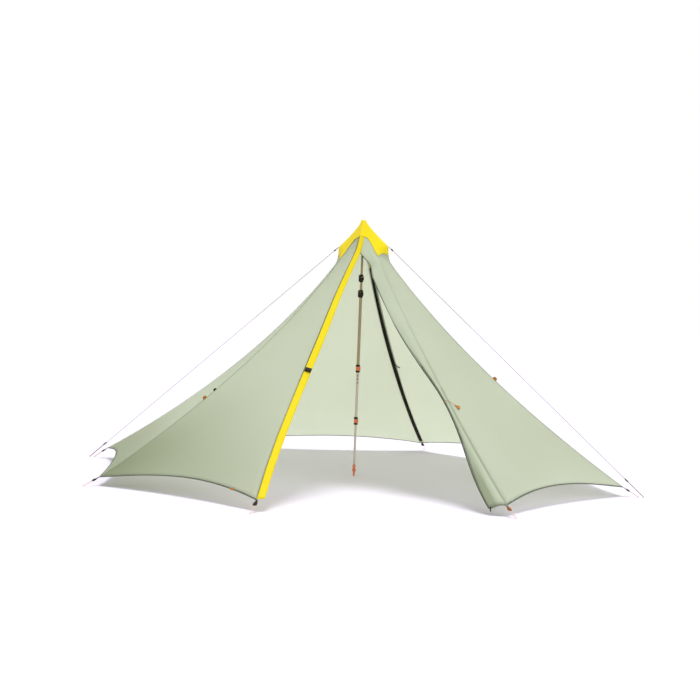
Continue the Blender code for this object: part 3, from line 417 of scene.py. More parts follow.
def anodised_tube(name, colour, dark):
    """Drawn and anodised aluminium tube: satin metal, with draw lines 0.6 mm apart and 110 mm long."""
    made, add = new_material(name)
    spot = add("ShaderNodeTexCoord").outputs["Object"]
    stretch = add("ShaderNodeMapping", {"Vector": spot, "Scale": (1800.0, 1800.0, 9.0)})
    lines = add("ShaderNodeTexNoise", {"Vector": stretch, "Scale": 1.0, "Detail": 2.0})
    rough = add("ShaderNodeMapRange", {"Value": lines, "To Min": 0.26, "To Max": 0.40})
    metal = {"Roughness": rough, "Metallic": 1.0}
    finish_surface(add, lines, dark, colour, lines, 0.15, 0.0001, metal)
    return made


def braided_cord(name, colour, fleck):
    """Braided polyester cord: matt, with strands 2.4 mm wide and a crossing fleck every 4 mm."""
    made, add = new_material(name)
    spot = add("ShaderNodeTexCoord").outputs["Object"]
    strands = add("ShaderNodeTexVoronoi", {"Vector": spot, "Scale": 420.0}).outputs["Distance"]
    flecks = add("ShaderNodeTexVoronoi", {"Vector": spot, "Scale": 240.0}).outputs["Distance"]
    edges = {"From Min": 0.15, "From Max": 0.45, "To Min": 1.0, "To Max": 0.0}
    share = add("ShaderNodeMapRange", {"Value": flecks, **edges})
    matt = {"Roughness": 0.80, "Sheen Weight": 0.2, "Sheen Roughness": 0.5}
    finish_surface(add, share, colour, fleck, strands, 0.6, 0.0004, matt)
    return made


SAGE = coated_ripstop("silicone_nylon_sage", "#D0D9C4", "#C9D2BC", "#F3F6EB", 0.62)
SAGE_LAYERS = coated_ripstop("silicone_nylon_sage_layers", "#CED8BE", "#C6D1B4", "#E2E9D6", 0.25)
SAGE_SEAM = coated_ripstop("silicone_nylon_sage_seam", "#BCC4B0", "#B4BDA7", "#D2D8C6", 0.36)
YELLOW = coated_ripstop("silicone_nylon_yellow", "#FEF01C", "#FCEA18", "#FDF02E", 0.36, 0.2)
YELLOW_LAYERS = coated_ripstop(
    "silicone_nylon_yellow_layers", "#FCEE12", "#FADE0E", "#FDF02E", 0.08, 0.2
)
EDGE_GREEN = woven_tape("polyester_edge_tape", "#4E583C", "#39422B", 0.0014)
HEM_GREEN = woven_tape("grosgrain_dark_green", "#66705A", "#4C5542", 0.0016)
ZIP_BLACK = woven_tape("polyester_zip_tape", "#15180C", "#070903", 0.0014)
ORANGE_WEBBING = woven_tape("nylon_webbing_orange", "#E2962C", "#A65C16", 0.0018)
BROWN_WEBBING = woven_tape("nylon_webbing_brown", "#A4602E", "#6E3A1A", 0.0018)
BLACK_WEBBING = woven_tape("nylon_webbing_black", "#2E1C10", "#170D06", 0.0018)
ROSE_WEBBING = woven_tape("nylon_webbing_rose", "#D3A79E", "#A97D74", 0.0018)
BLACK_ACETAL = moulded_acetal("acetal_black", "#17140F", "#2C2823")
ORANGE_ACETAL = moulded_acetal("acetal_orange", "#EC8257", "#F4AC8C")
GREY_ACETAL = moulded_acetal("acetal_grey", "#5E5450", "#857A76")
NYLON_COIL = moulded_acetal("nylon_zip_coil", "#1B1D12", "#34362A")
GREEN_COIL = moulded_acetal("nylon_zip_coil_green", "#66715B", "#7E8A72")
CHAMPAGNE = anodised_tube("anodised_champagne", "#CAB496", "#8C745C")
GREY_TUBE = anodised_tube("anodised_grey", "#E4DACE", "#B4A99E")
GUY_CORD = braided_cord("polyester_guy_cord", "#6E4A38", "#42281C")
LOOP_CORD = braided_cord("polyester_loop_cord", "#EAD0C2", "#D9A084")
TIE_CORD = braided_cord("polyester_tie_elastic", "#D89A62", "#A8622A")
THREAD = moulded_acetal("polyester_thread", "#9BA68A", "#B4BDA4")
YELLOW_THREAD = moulded_acetal("polyester_thread_yellow", "#E8C400", "#F5DC3C")


# Shared making


def add_piece(name, data, material, nodes=(), body="canopy"):
    """Link a mesh or curve in place, with its finish, its body and the nodes it stands for."""
    data.materials.clear()
    data.materials.append(material)
    piece = bpy.data.objects.new(name, data)
    bpy.context.scene.collection.objects.link(piece)
    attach(piece, body)
    if nodes:
        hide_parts(*nodes)
    return piece


def smooth(data):
    """Shade a mesh smooth."""
    for face in data.polygons:
        face.use_smooth = True
    return data


def mesh_of(bm, name):
    """A smooth mesh of what was built."""
    data = bpy.data.meshes.new(name)
    bm.to_mesh(data)
    bm.free()
    return smooth(data)


def sheet_mesh(name, rows, out=UP):
    """A sheet through rows of (point, cut) pairs: cut is the point's place on the flat cloth. Its
    faces point towards out."""
    bm = bmesh.new()
    layer = bm.loops.layers.uv.new("cut")
    grid = [[bm.verts.new(point) for point, cut in row] for row in rows]
    cuts = {}
    for line, row in zip(grid, rows):
        for vert, (point, cut) in zip(line, row):
            cuts[vert] = cut
    for upper, lower in zip(grid, grid[1:]):
        for a, b, c, d in zip(upper, upper[1:], lower[1:], lower):
            face = bm.faces.new((a, b, c, d))
            for loop in face.loops:
                loop[layer].uv = cuts[loop.vert]
    bm.faces.ensure_lookup_table()
    middle = bm.faces[len(bm.faces) // 2]
    middle.normal_update()
    if middle.normal.dot(out) < 0.0:
        bmesh.ops.reverse_faces(bm, faces=bm.faces)
    return mesh_of(bm, name)


def shade_cloth(data, shades):
    """Store how much painted shade each vertex of a sheet gets, for its cloth's colour."""
    layer = data.attributes.new("in_shade", "FLOAT", "POINT")
    layer.data.foreach_set("value", shades)


def thicken(piece, thickness):
    """Give a sheet its wall."""
    wall = piece.modifiers.new("Wall", "SOLIDIFY")
    wall.thickness = thickness
    wall.offset = 0.0
    wall.use_even_offset = False
    return piece


def tape_along(name, place, shares, steps, material, thickness, nodes=(), out=UP):
    """A strip of cloth or tape placed by a function of (across, share)."""
    rows = []
    at = 0.0
    for share in shares:
        line = [place(k / steps, share) for k in range(steps + 1)]
        if rows:
            at += (line[0] - rows[-1][0][0]).length
        wide = [0.0]
        for a, b in zip(line, line[1:]):
            wide.append(wide[-1] + (b - a).length)
        rows.append([(point, (w, at)) for point, w in zip(line, wide)])
    piece = add_piece(name, sheet_mesh(name, rows, out), material, nodes)
    return thicken(piece, thickness)


def smooth_route(points, count):
    """Points spread evenly along a smooth curve through the route's own points."""
    spots = [Vector(point) for point in points]
    ends = [2 * spots[0] - spots[1]] + spots + [2 * spots[-1] - spots[-2]]
    fine = []
    steps = 24
    for i in range(1, len(ends) - 2):
        before, a, b, after = ends[i - 1 : i + 3]
        for step in range(steps):
            s = step / steps
            bend = (2 * before - 5 * a + 4 * b - after) * s * s
            swing = (3 * a - before - 3 * b + after) * s**3
            fine.append(0.5 * (2 * a + (b - before) * s + bend + swing))
    fine.append(spots[-1])
    reach = [0.0]
    for a, b in zip(fine, fine[1:]):
        reach.append(reach[-1] + (b - a).length)
    out = []
    at = 0
    for k in range(count):
        want = reach[-1] * k / (count - 1)
        while at < len(reach) - 2 and reach[at + 1] < want:
            at += 1
        part = (want - reach[at]) / (reach[at + 1] - reach[at])
        out.append(fine[at].lerp(fine[at + 1], part))
    return out


def cord_curve(name, points, radius):
    """A round cord along a POLY spline, with its ends closed."""
    data = bpy.data.curves.new(name, "CURVE")
    data.dimensions = "3D"
    data.bevel_depth = radius
    data.bevel_resolution = 3
    data.use_fill_caps = True
    line = data.splines.new("POLY")
    line.points.add(len(points) - 1)
    for spot, point in zip(line.points, points):
        spot.co = (*point, 1.0)
    return data


def along(origin, direction, side=None):
    """A frame at origin: X along the direction, Y to the side, Z out."""
    x = Vector(direction).normalized()
    y = Vector(side) if side is not None else UP.cross(x)
    y = (y - x * y.dot(x)).normalized()
    turn = Matrix((x, y, x.cross(y))).transposed().to_4x4()
    return Matrix.Translation(Vector(origin)) @ turn


def blend_between(value, low, high):
    """Ease from 0 below low to 1 above high."""
    s = min(max((value - low) / (high - low), 0.0), 1.0)
    return s * s * (3.0 - 2.0 * s)


def share_rows(top, end, count):
    """Shares from top to end, closer together near the peak."""
    return [top + (end - top) * (k / count) ** 1.25 for k in range(count + 1)]


def middle_of(name):
    """The middle of a CAD node."""
    points = [Vector(vert.co) for vert in bpy.data.objects[name].data.vertices]
    return sum(points, Vector()) / len(points)


# The canopy's ridges and walls


def corner(name):
    """A hem corner."""
    return Vector(CORNERS[name])


def outward(name):
    """Level direction from the pole to a corner."""
    spot = corner(name)
    return Vector((spot.x, spot.y, 0.0)).normalized()


def neighbours(name):
    """The ridges on the two sides of a ridge."""
    at = NAMES.index(name)
    return NAMES[at - 1], NAMES[(at + 1) % len(NAMES)]


def guy_flare(name, share):
    """How far a guy line pulls a side ridge outwards."""
    if name not in ("left", "right"):
        return 0.0
    above = share < GUY_SHARE
    away = min(abs(share - GUY_SHARE) / (FLARE_ABOVE if above else FLARE_BELOW), 1.0)
    return GUY_FLARE * (1.0 - away) ** (1.0 if above else FLARE_POWER)


def front_bow(share):
    """How far the open front ridge bows sideways, as a share of its length."""
    for low, high, first, last in zip(STATIONS, STATIONS[1:], FRONT_BOWS, FRONT_BOWS[1:]):
        if share <= high:
            return first + (last - first) * max(share - low, 0.0) / (high - low)
    return 0.0


def ridge(name, share, lift=0.0):
    """A point on a ridge seam, from 0 at the peak to 1 at the hem corner."""
    level = outward(name)
    top = level * TOP_RADIUS + UP * APEX_HEIGHT
    chord = corner(name) - top
    run = chord.normalized()
    out = (level - run * level.dot(run)).normalized()
    deepest = SAG_SKEW / (1.0 + SAG_SKEW)
    peak = deepest**SAG_SKEW * (1.0 - deepest)
    sag = RIDGE_SAGS[name] * chord.length * max(share, 0.0) ** SAG_SKEW * (1.0 - share) / peak
    point = top + chord * share + out * (lift - sag + guy_flare(name, share))
    if name == "front":
        point += UP.cross(level) * (front_bow(share) * chord.length)
    return point


def ridge_length(name):
    """Straight length of a ridge."""
    return (corner(name) - ridge(name, 0.0)).length


def seam_point(first, second, share, distance, lift=0.0):
    """A point at a distance from one ridge, level across the wall towards the next ridge."""
    start = ridge(first, share, lift)
    return start + (ridge(second, share, lift) - start).normalized() * distance


def beside_ridge(name, share, offset, lift):
    """A point beside a ridge, towards the ridge before it where the offset is negative."""
    before, after = neighbours(name)
    return seam_point(name, before if offset < 0.0 else after, share, abs(offset), lift)


def panel_out(first, second):
    """Outward direction of the wall between two ridges."""
    a, b = ridge(first, 0.5), ridge(second, 0.5)
    out = (b - a).cross(ridge(first, 0.6) - a).normalized()
    return out if out.dot(outward(first) + outward(second)) > 0.0 else -out


def corner_creases(point, first, second):
    """Faint folds that fan out from the two pegged corners of a wall."""
    depth = 0.0
    for here, there in ((first, second), (second, first)):
        away = point - corner(here)
        reach = away.length
        if not CREASE_START <= reach <= CREASE_END:
            continue
        up = (ridge(here, 0.6) - corner(here)).normalized()
        side = (corner(there) - corner(here)).normalized()
        angle = math.atan2(away.dot(side), away.dot(up))
        fade = math.exp(-reach / CREASE_FADE) * min(reach / 0.10, 1.0)
        fold = math.sin(CREASES_PER_RADIAN * angle + 1.3 * NAMES.index(here))
        depth += CREASE_DEPTH * fold * fade
    return depth


def wall_point(first, second, across, share):
    """A point on the wall between two ridges: drawn in a little, with its arched hem."""
    arch = 4.0 * across * (1.0 - across)
    down = share * (1.0 - HEM_ARC * arch * share**2)
    point = ridge(first, down).lerp(ridge(second, down), across)
    dip = WALL_DIP * arch * math.sin(math.pi * min(share, 1.0) ** 0.8)
    dip += WALL_UNEVENNESS * arch * noise.noise(point * 2.6)
    dip += corner_creases(point, first, second) * min(arch * 3.0, 1.0)
    return point - panel_out(first, second) * dip


def hem_point(first, second, across, rise):
    """A point on a wall, a distance above its hem."""
    return wall_point(first, second, across, 1.0 - rise / ridge_length(first))


def cut_area(first, second):
    """Flat area of the wall between two ridges, without the arc cut out of its hem."""
    a, b = ridge(first, 0.0), ridge(second, 0.0)
    p, q = corner(first), corner(second)
    whole = 0.5 * ((p - a).cross(q - a).length + (q - a).cross(b - a).length)
    return whole * (1.0 - 2.0 * HEM_ARC * 2.0 / 3.0)


def hem_length(first, second):
    """Straight length of the hem between two corners."""
    return (corner(second) - corner(first)).length


def wall_shade(first, across, share):
    """Painted shade: how far the cloth's colour is darkened. The wall left of the door turns away from
    the light down its left side, where it lies close over the ground, its neighbour near that corner,
    the back right wall a little low down, and the others not at all."""
    if first == "front":
        low = blend_between(share, 0.55, 0.95) * (0.10 + 0.22 * across + 0.10 * across**3)
        return low + 0.16 * blend_between(share, 0.75, 1.0) * across**6
    if first == "front_left":
        return 0.34 * blend_between(share, 0.68, 1.0)
    return 0.12 * blend_between(share, 0.30, 0.80) if first == "back_right" else 0.0


def canopy():
    """The seven pegged walls as one continuous sewn sheet. The first wall's last column lies close
    to the front left ridge, which keeps that ridge crisp."""
    columns = [(wall, k / WALL_COLUMNS) for wall in WALLS for k in range(WALL_COLUMNS)]
    columns[WALL_COLUMNS - 1] = (WALLS[0], 0.99)
    columns.append((WALLS[-1], 1.0))
    rows = []
    shades = []
    for share in share_rows(PEAK_SHARE, 1.0, WALL_ROWS):
        row = []
        for (first, second), across in columns:
            width = (ridge(second, share) - ridge(first, share)).length
            cut = ((across - 0.5) * width + NAMES.index(first), share * ridge_length(first))
            row.append((wall_point(first, second, across, share), cut))
            # Painted shade for this vertex of the cloth
            shades.append(wall_shade(first, across, share))
        rows.append(row)
    data = sheet_mesh("canopy_cloth", rows, Vector((0.0, 1.0, 0.6)))
    shade_cloth(data, shades)
    nodes = ["wall_" + first + "_to_" + second for first, second in WALLS]
    piece = thicken(add_piece("canopy_cloth", data, SAGE, nodes), CLOTH)
    hem = sum(hem_length(*wall) for wall in WALLS)
    return piece, (hem, CANOPY_FLAT_HEIGHT), sum(cut_area(*wall) for wall in WALLS)


def ridge_seams():
    """Flat-felled seams: a doubled strip of cloth over each sewn ridge. Beside the open door it
    lies on the wall alone, and only on the lower part."""
    pieces = []
    for name in SEWN_RIDGES + ("front_right",):
        beside_door = name == "front_right"

        def place(across, share, name=name, beside_door=beside_door):
            offset = -SEAM_WIDTH * across if beside_door else SEAM_WIDTH * (across - 0.5)
            return beside_ridge(name, share, offset, SEAM_LIFT)

        shares = share_rows(DOOR_SEAM_TOP if beside_door else SEAM_TOP, 0.998, 64)
        pieces.append(tape_along(
            name + "_ridge_seam", place, shares, 4, SAGE_SEAM, DOUBLED_CLOTH,
            out=outward(name),
        ))
    return pieces


def hem_bindings():
    """Grosgrain binding folded over the hem of each wall, 5 mm of it to a step of the fold, and
    about 1.35 m long."""
    profile = (
        (BINDING_WIDTH, 0.0009), (0.0, BINDING_LIFT), (-0.0012, 0.0), (0.0, -BINDING_LIFT),
        (BINDING_WIDTH, -0.0009),
    )
    pieces = []
    for first, second in WALLS:
        out = panel_out(first, second)
        rows = []
        for k in range(BINDING_STEPS + 1):
            across = k / BINDING_STEPS
            rows.append([
                (hem_point(first, second, across, rise) + out * lift, (j * 0.005, across * 1.35))
                for j, (rise, lift) in enumerate(profile)
            ])
        name = first + "_to_" + second + "_hem"
        piece = add_piece(name, sheet_mesh(name, rows), HEM_GREEN)
        pieces.append(thicken(piece, BINDING_THICKNESS))
    return pieces


# The gathered door


def door_strip(share):
    """Width of the gathered strip and how far its free edge turns in: narrow and flat at its tie."""
    narrowed = blend_between(share, DOOR_NARROWING, DOOR_TIE_SHARE)
    widened = blend_between(share, DOOR_TIE_SHARE, 1.0)
    width = DOOR_TOP_WIDTH + (DOOR_TIED_WIDTH - DOOR_TOP_WIDTH) * narrowed
    width += (DOOR_HEM_WIDTH - DOOR_TIED_WIDTH) * widened
    turn = DOOR_TOP_TURN + (DOOR_TIED_TURN - DOOR_TOP_TURN) * narrowed
    return width, turn + (DOOR_HEM_TURN - DOOR_TIED_TURN) * widened


def door_frame(share):
    """The seam point of the gathered door, its level direction to the opening and inwards."""
    seam = ridge("front_right", share)
    across = (ridge("front", share) - seam).normalized()
    down = (ridge("front_right", share + 0.01) - seam).normalized()
    inward = down.cross(across).normalized()
    return seam, across, -inward if inward.dot(outward("front_right")) > 0.0 else inward


def door_roll(share):
    """Share of the outer leg that is a roll beside the seam."""
    return min(DOOR_ROLL_WIDTH / door_strip(share)[0], 0.98)


def door_point(step, share):
    """A point of the door and its place on the flat cloth, some steps from its sewn edge.

    The outer leg is a low roll on the ridge that turns in to the free edge, and the last one,
    with the zip, lies inside it. What is between them goes back and forth in pleats.
    """
    seam, across, inward = door_frame(share)
    full = (ridge("front", share) - seam).length
    strip, turned = door_strip(share)
    folded = blend_between(share, DOOR_CLOSED, DOOR_FOLDED)
    leg = min(strip, full / 3.0)
    inner = full - 2.0 * leg
    pleated = min(max((inner / leg - 1.0) / (DOOR_INNER_LEGS - 1), 0.0), 1.0)
    outer_share = min(step / DOOR_OUTER_STEPS, 1.0)
    last_share = max((step - DOOR_STEPS) / DOOR_OUTER_STEPS + 1.0, 0.0)
    inner_share = min(max((step - DOOR_OUTER_STEPS) / (DOOR_STEPS - 2 * DOOR_OUTER_STEPS), 0.0), 1.0)
    swing = 0.5 * (1.0 + math.cos(math.pi * DOOR_INNER_LEGS * inner_share))
    way_back = (1.0 - inner_share) + (swing - 1.0 + inner_share) * pleated
    cloth_at = leg * (outer_share + last_share) + inner * inner_share
    fold_share = outer_share if inner_share == 0.0 else way_back + last_share
    rolled = door_roll(share)
    reach = max((fold_share - rolled) / (1.0 - rolled), 0.0)
    roll = math.sin(math.pi * min(fold_share / rolled, 1.0)) * blend_between(share, 0.62, 0.80)
    loose = min(4.0 * abs(share - DOOR_TIE_SHARE) / DOOR_TIE_SHARE, 1.0)
    wave = DOOR_WAVE * loose * math.sin(19.0 * share + 2.1 * fold_share + 1.5 * inner_share)
    stacked = (0.12 + 0.88 * pleated) * (0.94 * inner_share + 0.06 * last_share)
    deep = turned * reach + DOOR_STACK * stacked - DOOR_ROLL_LIFT * roll
    deep -= 0.6 * wave * math.sin(math.pi * min(fold_share, 1.0))
    sideways = cloth_at + (leg * fold_share + wave * fold_share - cloth_at) * folded
    point = seam + across * sideways + inward * (deep * folded)
    return point, (cloth_at, share * ridge_length("front_right"))


def gathered_door():
    """The open door: one sheet of cloth, pleated and laid along its ridge. Painted shade darkens its
    colour where it turns in behind the roll at its foot."""
    rows = []
    shades = []
    for share in share_rows(PEAK_SHARE, 0.998, DOOR_ROWS):
        rows.append([door_point(step, share) for step in range(DOOR_STEPS + 1)])
        roll = door_roll(share)
        low = blend_between(share, 0.82, 0.92)
        # Painted shade: darker where the cloth turns in past the roll, low down
        for step in range(DOOR_STEPS + 1):
            shades.append(0.48 * blend_between(step / DOOR_OUTER_STEPS, roll, roll + 0.15) * low)
    data = sheet_mesh("door_cloth", rows, DOOR_OUTWARD)
    shade_cloth(data, shades)
    piece = thicken(add_piece("door_cloth", data, SAGE_LAYERS, ["front_door"]), DOUBLED_CLOTH)

    def tape_place(across, share):
        seam, side, inward = door_frame(share)
        free = door_point(DOOR_STEPS, share)[0]
        return free + side * (DOOR_TAPE_WIDTH * across - 0.001) + inward * 0.0010

    tape = tape_along(
        "door_zip_tape", tape_place, share_rows(0.100, 0.995, 90), 2, HEM_GREEN, 0.0010,
        out=DOOR_OUTWARD,
    )
    edge = [door_point(step, 0.997)[0] - UP * 0.0006 for step in range(DOOR_STEPS + 1)]
    hem = cord_curve("door_hem", edge, 0.0012)
    hem_piece = add_piece("door_hem_binding", hem, HEM_GREEN)
    flat = (hem_length("front_right", "front"), DOOR_FLAT_HEIGHT)
    return piece, flat, cut_area("front_right", "front"), [tape, hem_piece]


# The peak cap, the storm flaps and the zips


def cap_edge(first, second, across):
    """How far down the cap's edge lies between two ridges."""
    edges = CAP_FRONT_EDGE if {first, second} & {"front", "back"} else CAP_SIDE_EDGE
    if first not in ("front_left", "back_left", "back_right", "front_right"):
        across = 1.0 - across
    at = min(across * (len(edges) - 1), len(edges) - 1.001)
    k = int(at)
    return edges[k] + (edges[k + 1] - edges[k]) * (at - k)


def cap_point(first, second, across, share, lift):
    """A point on the cap between two ridges."""
    return ridge(first, share, lift).lerp(ridge(second, share, lift), across)


def cap_columns():
    """Every column of the cap: its two ridges and the share across."""
    rounds = list(zip(NAMES, NAMES[1:] + NAMES[:1]))
    out = [(a, b, k / CAP_COLUMNS) for a, b in rounds for k in range(CAP_COLUMNS)]
    return out + [(NAMES[0], NAMES[1], 0.0)]


def peak_cap():
    """The yellow cap, with its flat top and a turned hem along its edge. Its flat cloth is laid out
    10 mm to a column, and 2.5 m to a ridge's length."""
    columns = cap_columns()
    rows = [[(UP * (APEX_HEIGHT + CAP_LIFT), (k * 0.01, 0.0)) for k in range(len(columns))]]
    for step in range(CAP_ROWS + 1):
        row = []
        for k, (first, second, across) in enumerate(columns):
            share = cap_edge(first, second, across) * (step / CAP_ROWS)
            puff = CAP_PUFF * math.sin(math.pi * across) * math.sin(math.pi * step / CAP_ROWS)
            point = cap_point(first, second, across, share, CAP_LIFT + puff)
            row.append((point, (k * 0.01, share * 2.5)))
        rows.append(row)
    data = sheet_mesh("cap_cloth", rows)
    bm = bmesh.new()
    bm.from_mesh(data)
    bmesh.ops.remove_doubles(bm, verts=bm.verts, dist=0.00002)
    bmesh.ops.recalc_face_normals(bm, faces=bm.faces)
    top = max(bm.faces, key=lambda face: face.calc_center_median().z)
    if top.normal.z < 0.0:
        bmesh.ops.reverse_faces(bm, faces=bm.faces)
    bm.to_mesh(data)
    bm.free()
    piece = thicken(add_piece("cap_cloth", smooth(data), YELLOW_LAYERS, ["peak_cap"]), CLOTH)

    def hem_place(across, k):
        first, second, share_across = columns[k]
        share = cap_edge(first, second, share_across) - CAP_HEM_WIDTH * (1.0 - across)
        return cap_point(first, second, share_across, share, CAP_LIFT + 0.0009)

    hem = tape_along(
        "cap_hem", hem_place, range(len(columns)), 1, YELLOW_LAYERS, DOUBLED_CLOTH
    )
    return piece, hem


def flap_parts(name, share):
    """Widths of a storm flap on its sewn and its loose side."""
    if name == "back":
        return BACK_FLAP_HALF, BACK_FLAP_HALF
    widened = (FLAP_LOW_WIDTH - FLAP_TOP_WIDTH) * blend_between(share, 0.0, 0.5)
    return FLAP_SEWN_WIDTH, FLAP_TOP_WIDTH + widened


def flap_point(name, across, share, lift):
    """A point across a storm flap, which folds over its ridge half way."""
    sewn, loose = flap_parts(name, share)
    offset = sewn * (1.0 - 2.0 * across) if across < 0.5 else -loose * (2.0 * across - 1.0)
    return beside_ridge(name, share, offset, lift)


def storm_flaps():
    """The two yellow flaps over the zips: sewn down on one side, a little loose on the other."""
    pieces = []
    for name in ("front", "back"):

        def place(across, share, name=name):
            puff = FLAP_PUFF * (1.0 - (2.0 * across - 1.0) ** 2) * (0.7 + 0.3 * math.sin(17.0 * share))
            loose = FLAP_LOOSE * across**2 * math.sin(31.0 * share) * blend_between(share, 0.15, 0.4)
            creased = 0.0030 * math.sin(60.0 * share + 5.0 * across) * blend_between(share, 0.80, 0.95)
            lift = FLAP_LIFT + puff + abs(loose) + abs(creased * across)
            return flap_point(name, across, share, lift)

        pieces.append(tape_along(
            name + "_flap_cloth", place, share_rows(FLAP_TOP, 0.997, 150), 10, YELLOW, CLOTH,
            nodes=[name + "_storm_flap"], out=outward(name),
        ))
    return pieces


def flap_piping():
    """Dark tape that shows along the sewn edge of each storm flap."""
    for name in ("front", "back"):

        def place(across, share, name=name):
            width = PIPING_WIDTH * (1.0 - 0.65 * blend_between(share, 0.50, 0.70))
            start = flap_parts(name, share)[0] - 0.002
            return beside_ridge(name, share, start + width * across, 0.0011)

        tape_along(
            name + "_flap_piping", place, share_rows(FLAP_TOP, 0.995, 90), 2, EDGE_GREEN, 0.0006,
            out=outward(name),
        )


def zips():
    """Zip tapes inside the two ridges."""

    def left_tape(across, share):
        start = 0.0004
        return seam_point("front", "front_left", share, start + ZIP_TAPE_WIDTH * across, ZIP_TAPE_LIFT)

    def backing(across, share):
        return beside_ridge("back", share, ZIP_BACKING_WIDTH * (across - 0.5), ZIP_TAPE_LIFT)

    tape_along(
        "front_zip_cloth", left_tape, share_rows(0.100, 0.985, 90), 3, ZIP_BLACK, ZIP_TAPE_THICKNESS,
        nodes=["front_zip_tape"], out=outward("front"),
    )
    tape_along(
        "back_zip_cloth", backing, share_rows(0.142, 0.985, 90), 6, ZIP_BLACK, ZIP_TAPE_THICKNESS,
        nodes=["back_zip_backing"], out=outward("back"),
    )


# What repeats: stitches and zip coils


def repeat_tree():
    """Geometry Nodes: rounded beads laid along every line of a mesh at a pitch."""
    tree = bpy.data.node_groups.new("beads_along_lines", "GeometryNodeTree")
    tree.interface.new_socket("Lines", in_out="INPUT", socket_type="NodeSocketGeometry")
    for name in ("Pitch", "Width", "Height", "Length"):
        tree.interface.new_socket(name, in_out="INPUT", socket_type="NodeSocketFloat")
    tree.interface.new_socket("Finish", in_out="INPUT", socket_type="NodeSocketMaterial")
    tree.interface.new_socket("Beads", in_out="OUTPUT", socket_type="NodeSocketGeometry")
    add = adder(tree)
    given = add("NodeGroupInput").outputs
    curve = add("GeometryNodeMeshToCurve", {0: given["Lines"]})
    pitch = {"Curve": curve, "Length": given["Pitch"]}
    spots = add("GeometryNodeCurveToPoints", pitch, mode="LENGTH").outputs
    size = add("ShaderNodeCombineXYZ", {0: given["Width"], 1: given["Height"], 2: given["Length"]})
    ball = add("GeometryNodeMeshUVSphere", {"Segments": 6, "Rings": 3, "Radius": 0.5})
    bead = add("GeometryNodeTransform", {"Geometry": ball, "Scale": size})
    inputs = {"Points": spots["Points"], "Instance": bead, "Rotation": spots["Rotation"]}
    real = add("GeometryNodeRealizeInstances", {0: add("GeometryNodeInstanceOnPoints", inputs)})
    finished = add("GeometryNodeSetMaterial", {"Geometry": real, "Material": given["Finish"]})
    add("NodeGroupOutput", {0: finished})
    return tree


BEADS = repeat_tree()


def add_beads(name, routes, pitch, size, material):
    """Beads of one size along some routes, made a plain mesh."""
    points = []
    edges = []
    for route in routes:
        start = len(points)
        points += [tuple(point) for point in route]
        edges += [(start + k, start + k + 1) for k in range(len(route) - 1)]
    lines = bpy.data.meshes.new(name + "_lines")
    lines.from_pydata(points, edges, [])
    guide = bpy.data.objects.new(name + "_guide", lines)
    bpy.context.scene.collection.objects.link(guide)
    step = guide.modifiers.new("Beads", "NODES")
    step.node_group = BEADS
    given = dict(zip(("Width", "Height", "Length"), size), Pitch=pitch, Finish=material)
    for socket in BEADS.interface.items_tree:
        if socket.in_out == "INPUT" and socket.name in given:
            step[socket.identifier] = given[socket.name]
    graph = bpy.context.evaluated_depsgraph_get()
    data = bpy.data.meshes.new_from_object(guide.evaluated_get(graph))
    bpy.data.objects.remove(guide, do_unlink=True)
    data.name = name
    return add_piece(name, smooth(data), material)


def stitches():
    """Rows of thread along the seams, the hem, the cap and the flaps. The real stitches are 3 mm
    long and are drawn 6 mm long, so that they show."""
    from_seam, lift = 0.0042, 0.0016
    seams = [
        [seam_point(name, beside, s, from_seam, lift) for s in share_rows(0.125, 0.995, 60)]
        for name in SEWN_RIDGES
        for beside in neighbours(name)
    ]
    add_beads("ridge_stitches", seams, STITCH_PITCH, STITCH, THREAD)
    rise, lift, steps = 0.0068, 0.0013, 50
    hems = [
        [hem_point(*wall, k / steps, rise) + panel_out(*wall) * lift for k in range(steps + 1)]
        for wall in WALLS
    ]
    add_beads("hem_stitches", hems, STITCH_PITCH, STITCH, THREAD)
    flaps = [
        [flap_point(name, across, s, FLAP_STITCH_LIFT) for s in share_rows(0.067, 0.994, 60)]
        for name in ("front", "back")
        for across in FLAP_STITCH_ROWS
    ]
    inset, lift = 0.0024, CAP_LIFT + 0.0014
    flaps.append([
        cap_point(a, b, u, cap_edge(a, b, u) - inset, lift) for a, b, u in cap_columns()
    ])
    add_beads("flap_stitches", flaps, STITCH_PITCH, STITCH, YELLOW_THREAD)


def zip_coils():
    """The nylon coils of the two zips, drawn at twice their real 2 mm pitch."""
    left = [seam_point("front", "front_left", s, 0.0022, -0.0024) for s in share_rows(0.108, 0.98, 80)]
    back = [ridge("back", s, -0.0034) for s in share_rows(0.146, 0.98, 80)]
    door = []
    for share in share_rows(0.12, 0.985, 120):
        seam, side, inward = door_frame(share)
        door.append(door_point(DOOR_STEPS, share)[0] + side * 0.0026 + inward * 0.0022)
    add_beads("zip_coils", [left, back], COIL_PITCH, ZIP_COIL, NYLON_COIL)
    add_beads("door_zip_coil", [door], COIL_PITCH, DOOR_COIL, GREEN_COIL)


# Cords


def hairpin(start, bend_at, back_at, turn, middle, steps):
    """A cord's route along X: out to a stake, half round it and back beside itself."""
    out, bend, back = steps
    route = [Vector((start + (bend_at - start) * k / out, middle - turn, 0.0)) for k in range(out + 1)]
    for k in range(1, bend + 1):
        angle = math.pi * k / bend
        reach = bend_at + turn * math.sin(angle)
        route.append(Vector((reach, middle - turn * math.cos(angle), 0.0)))
    for k in range(1, back + 1):
        route.append(Vector((bend_at + (back_at - bend_at) * k / back, middle + turn, 0.0)))
    return route


def taut_cord(cord, points, radius, **more):
    length = sum((b - a).length for a, b in zip(points, points[1:]))
    tuple(points[0])


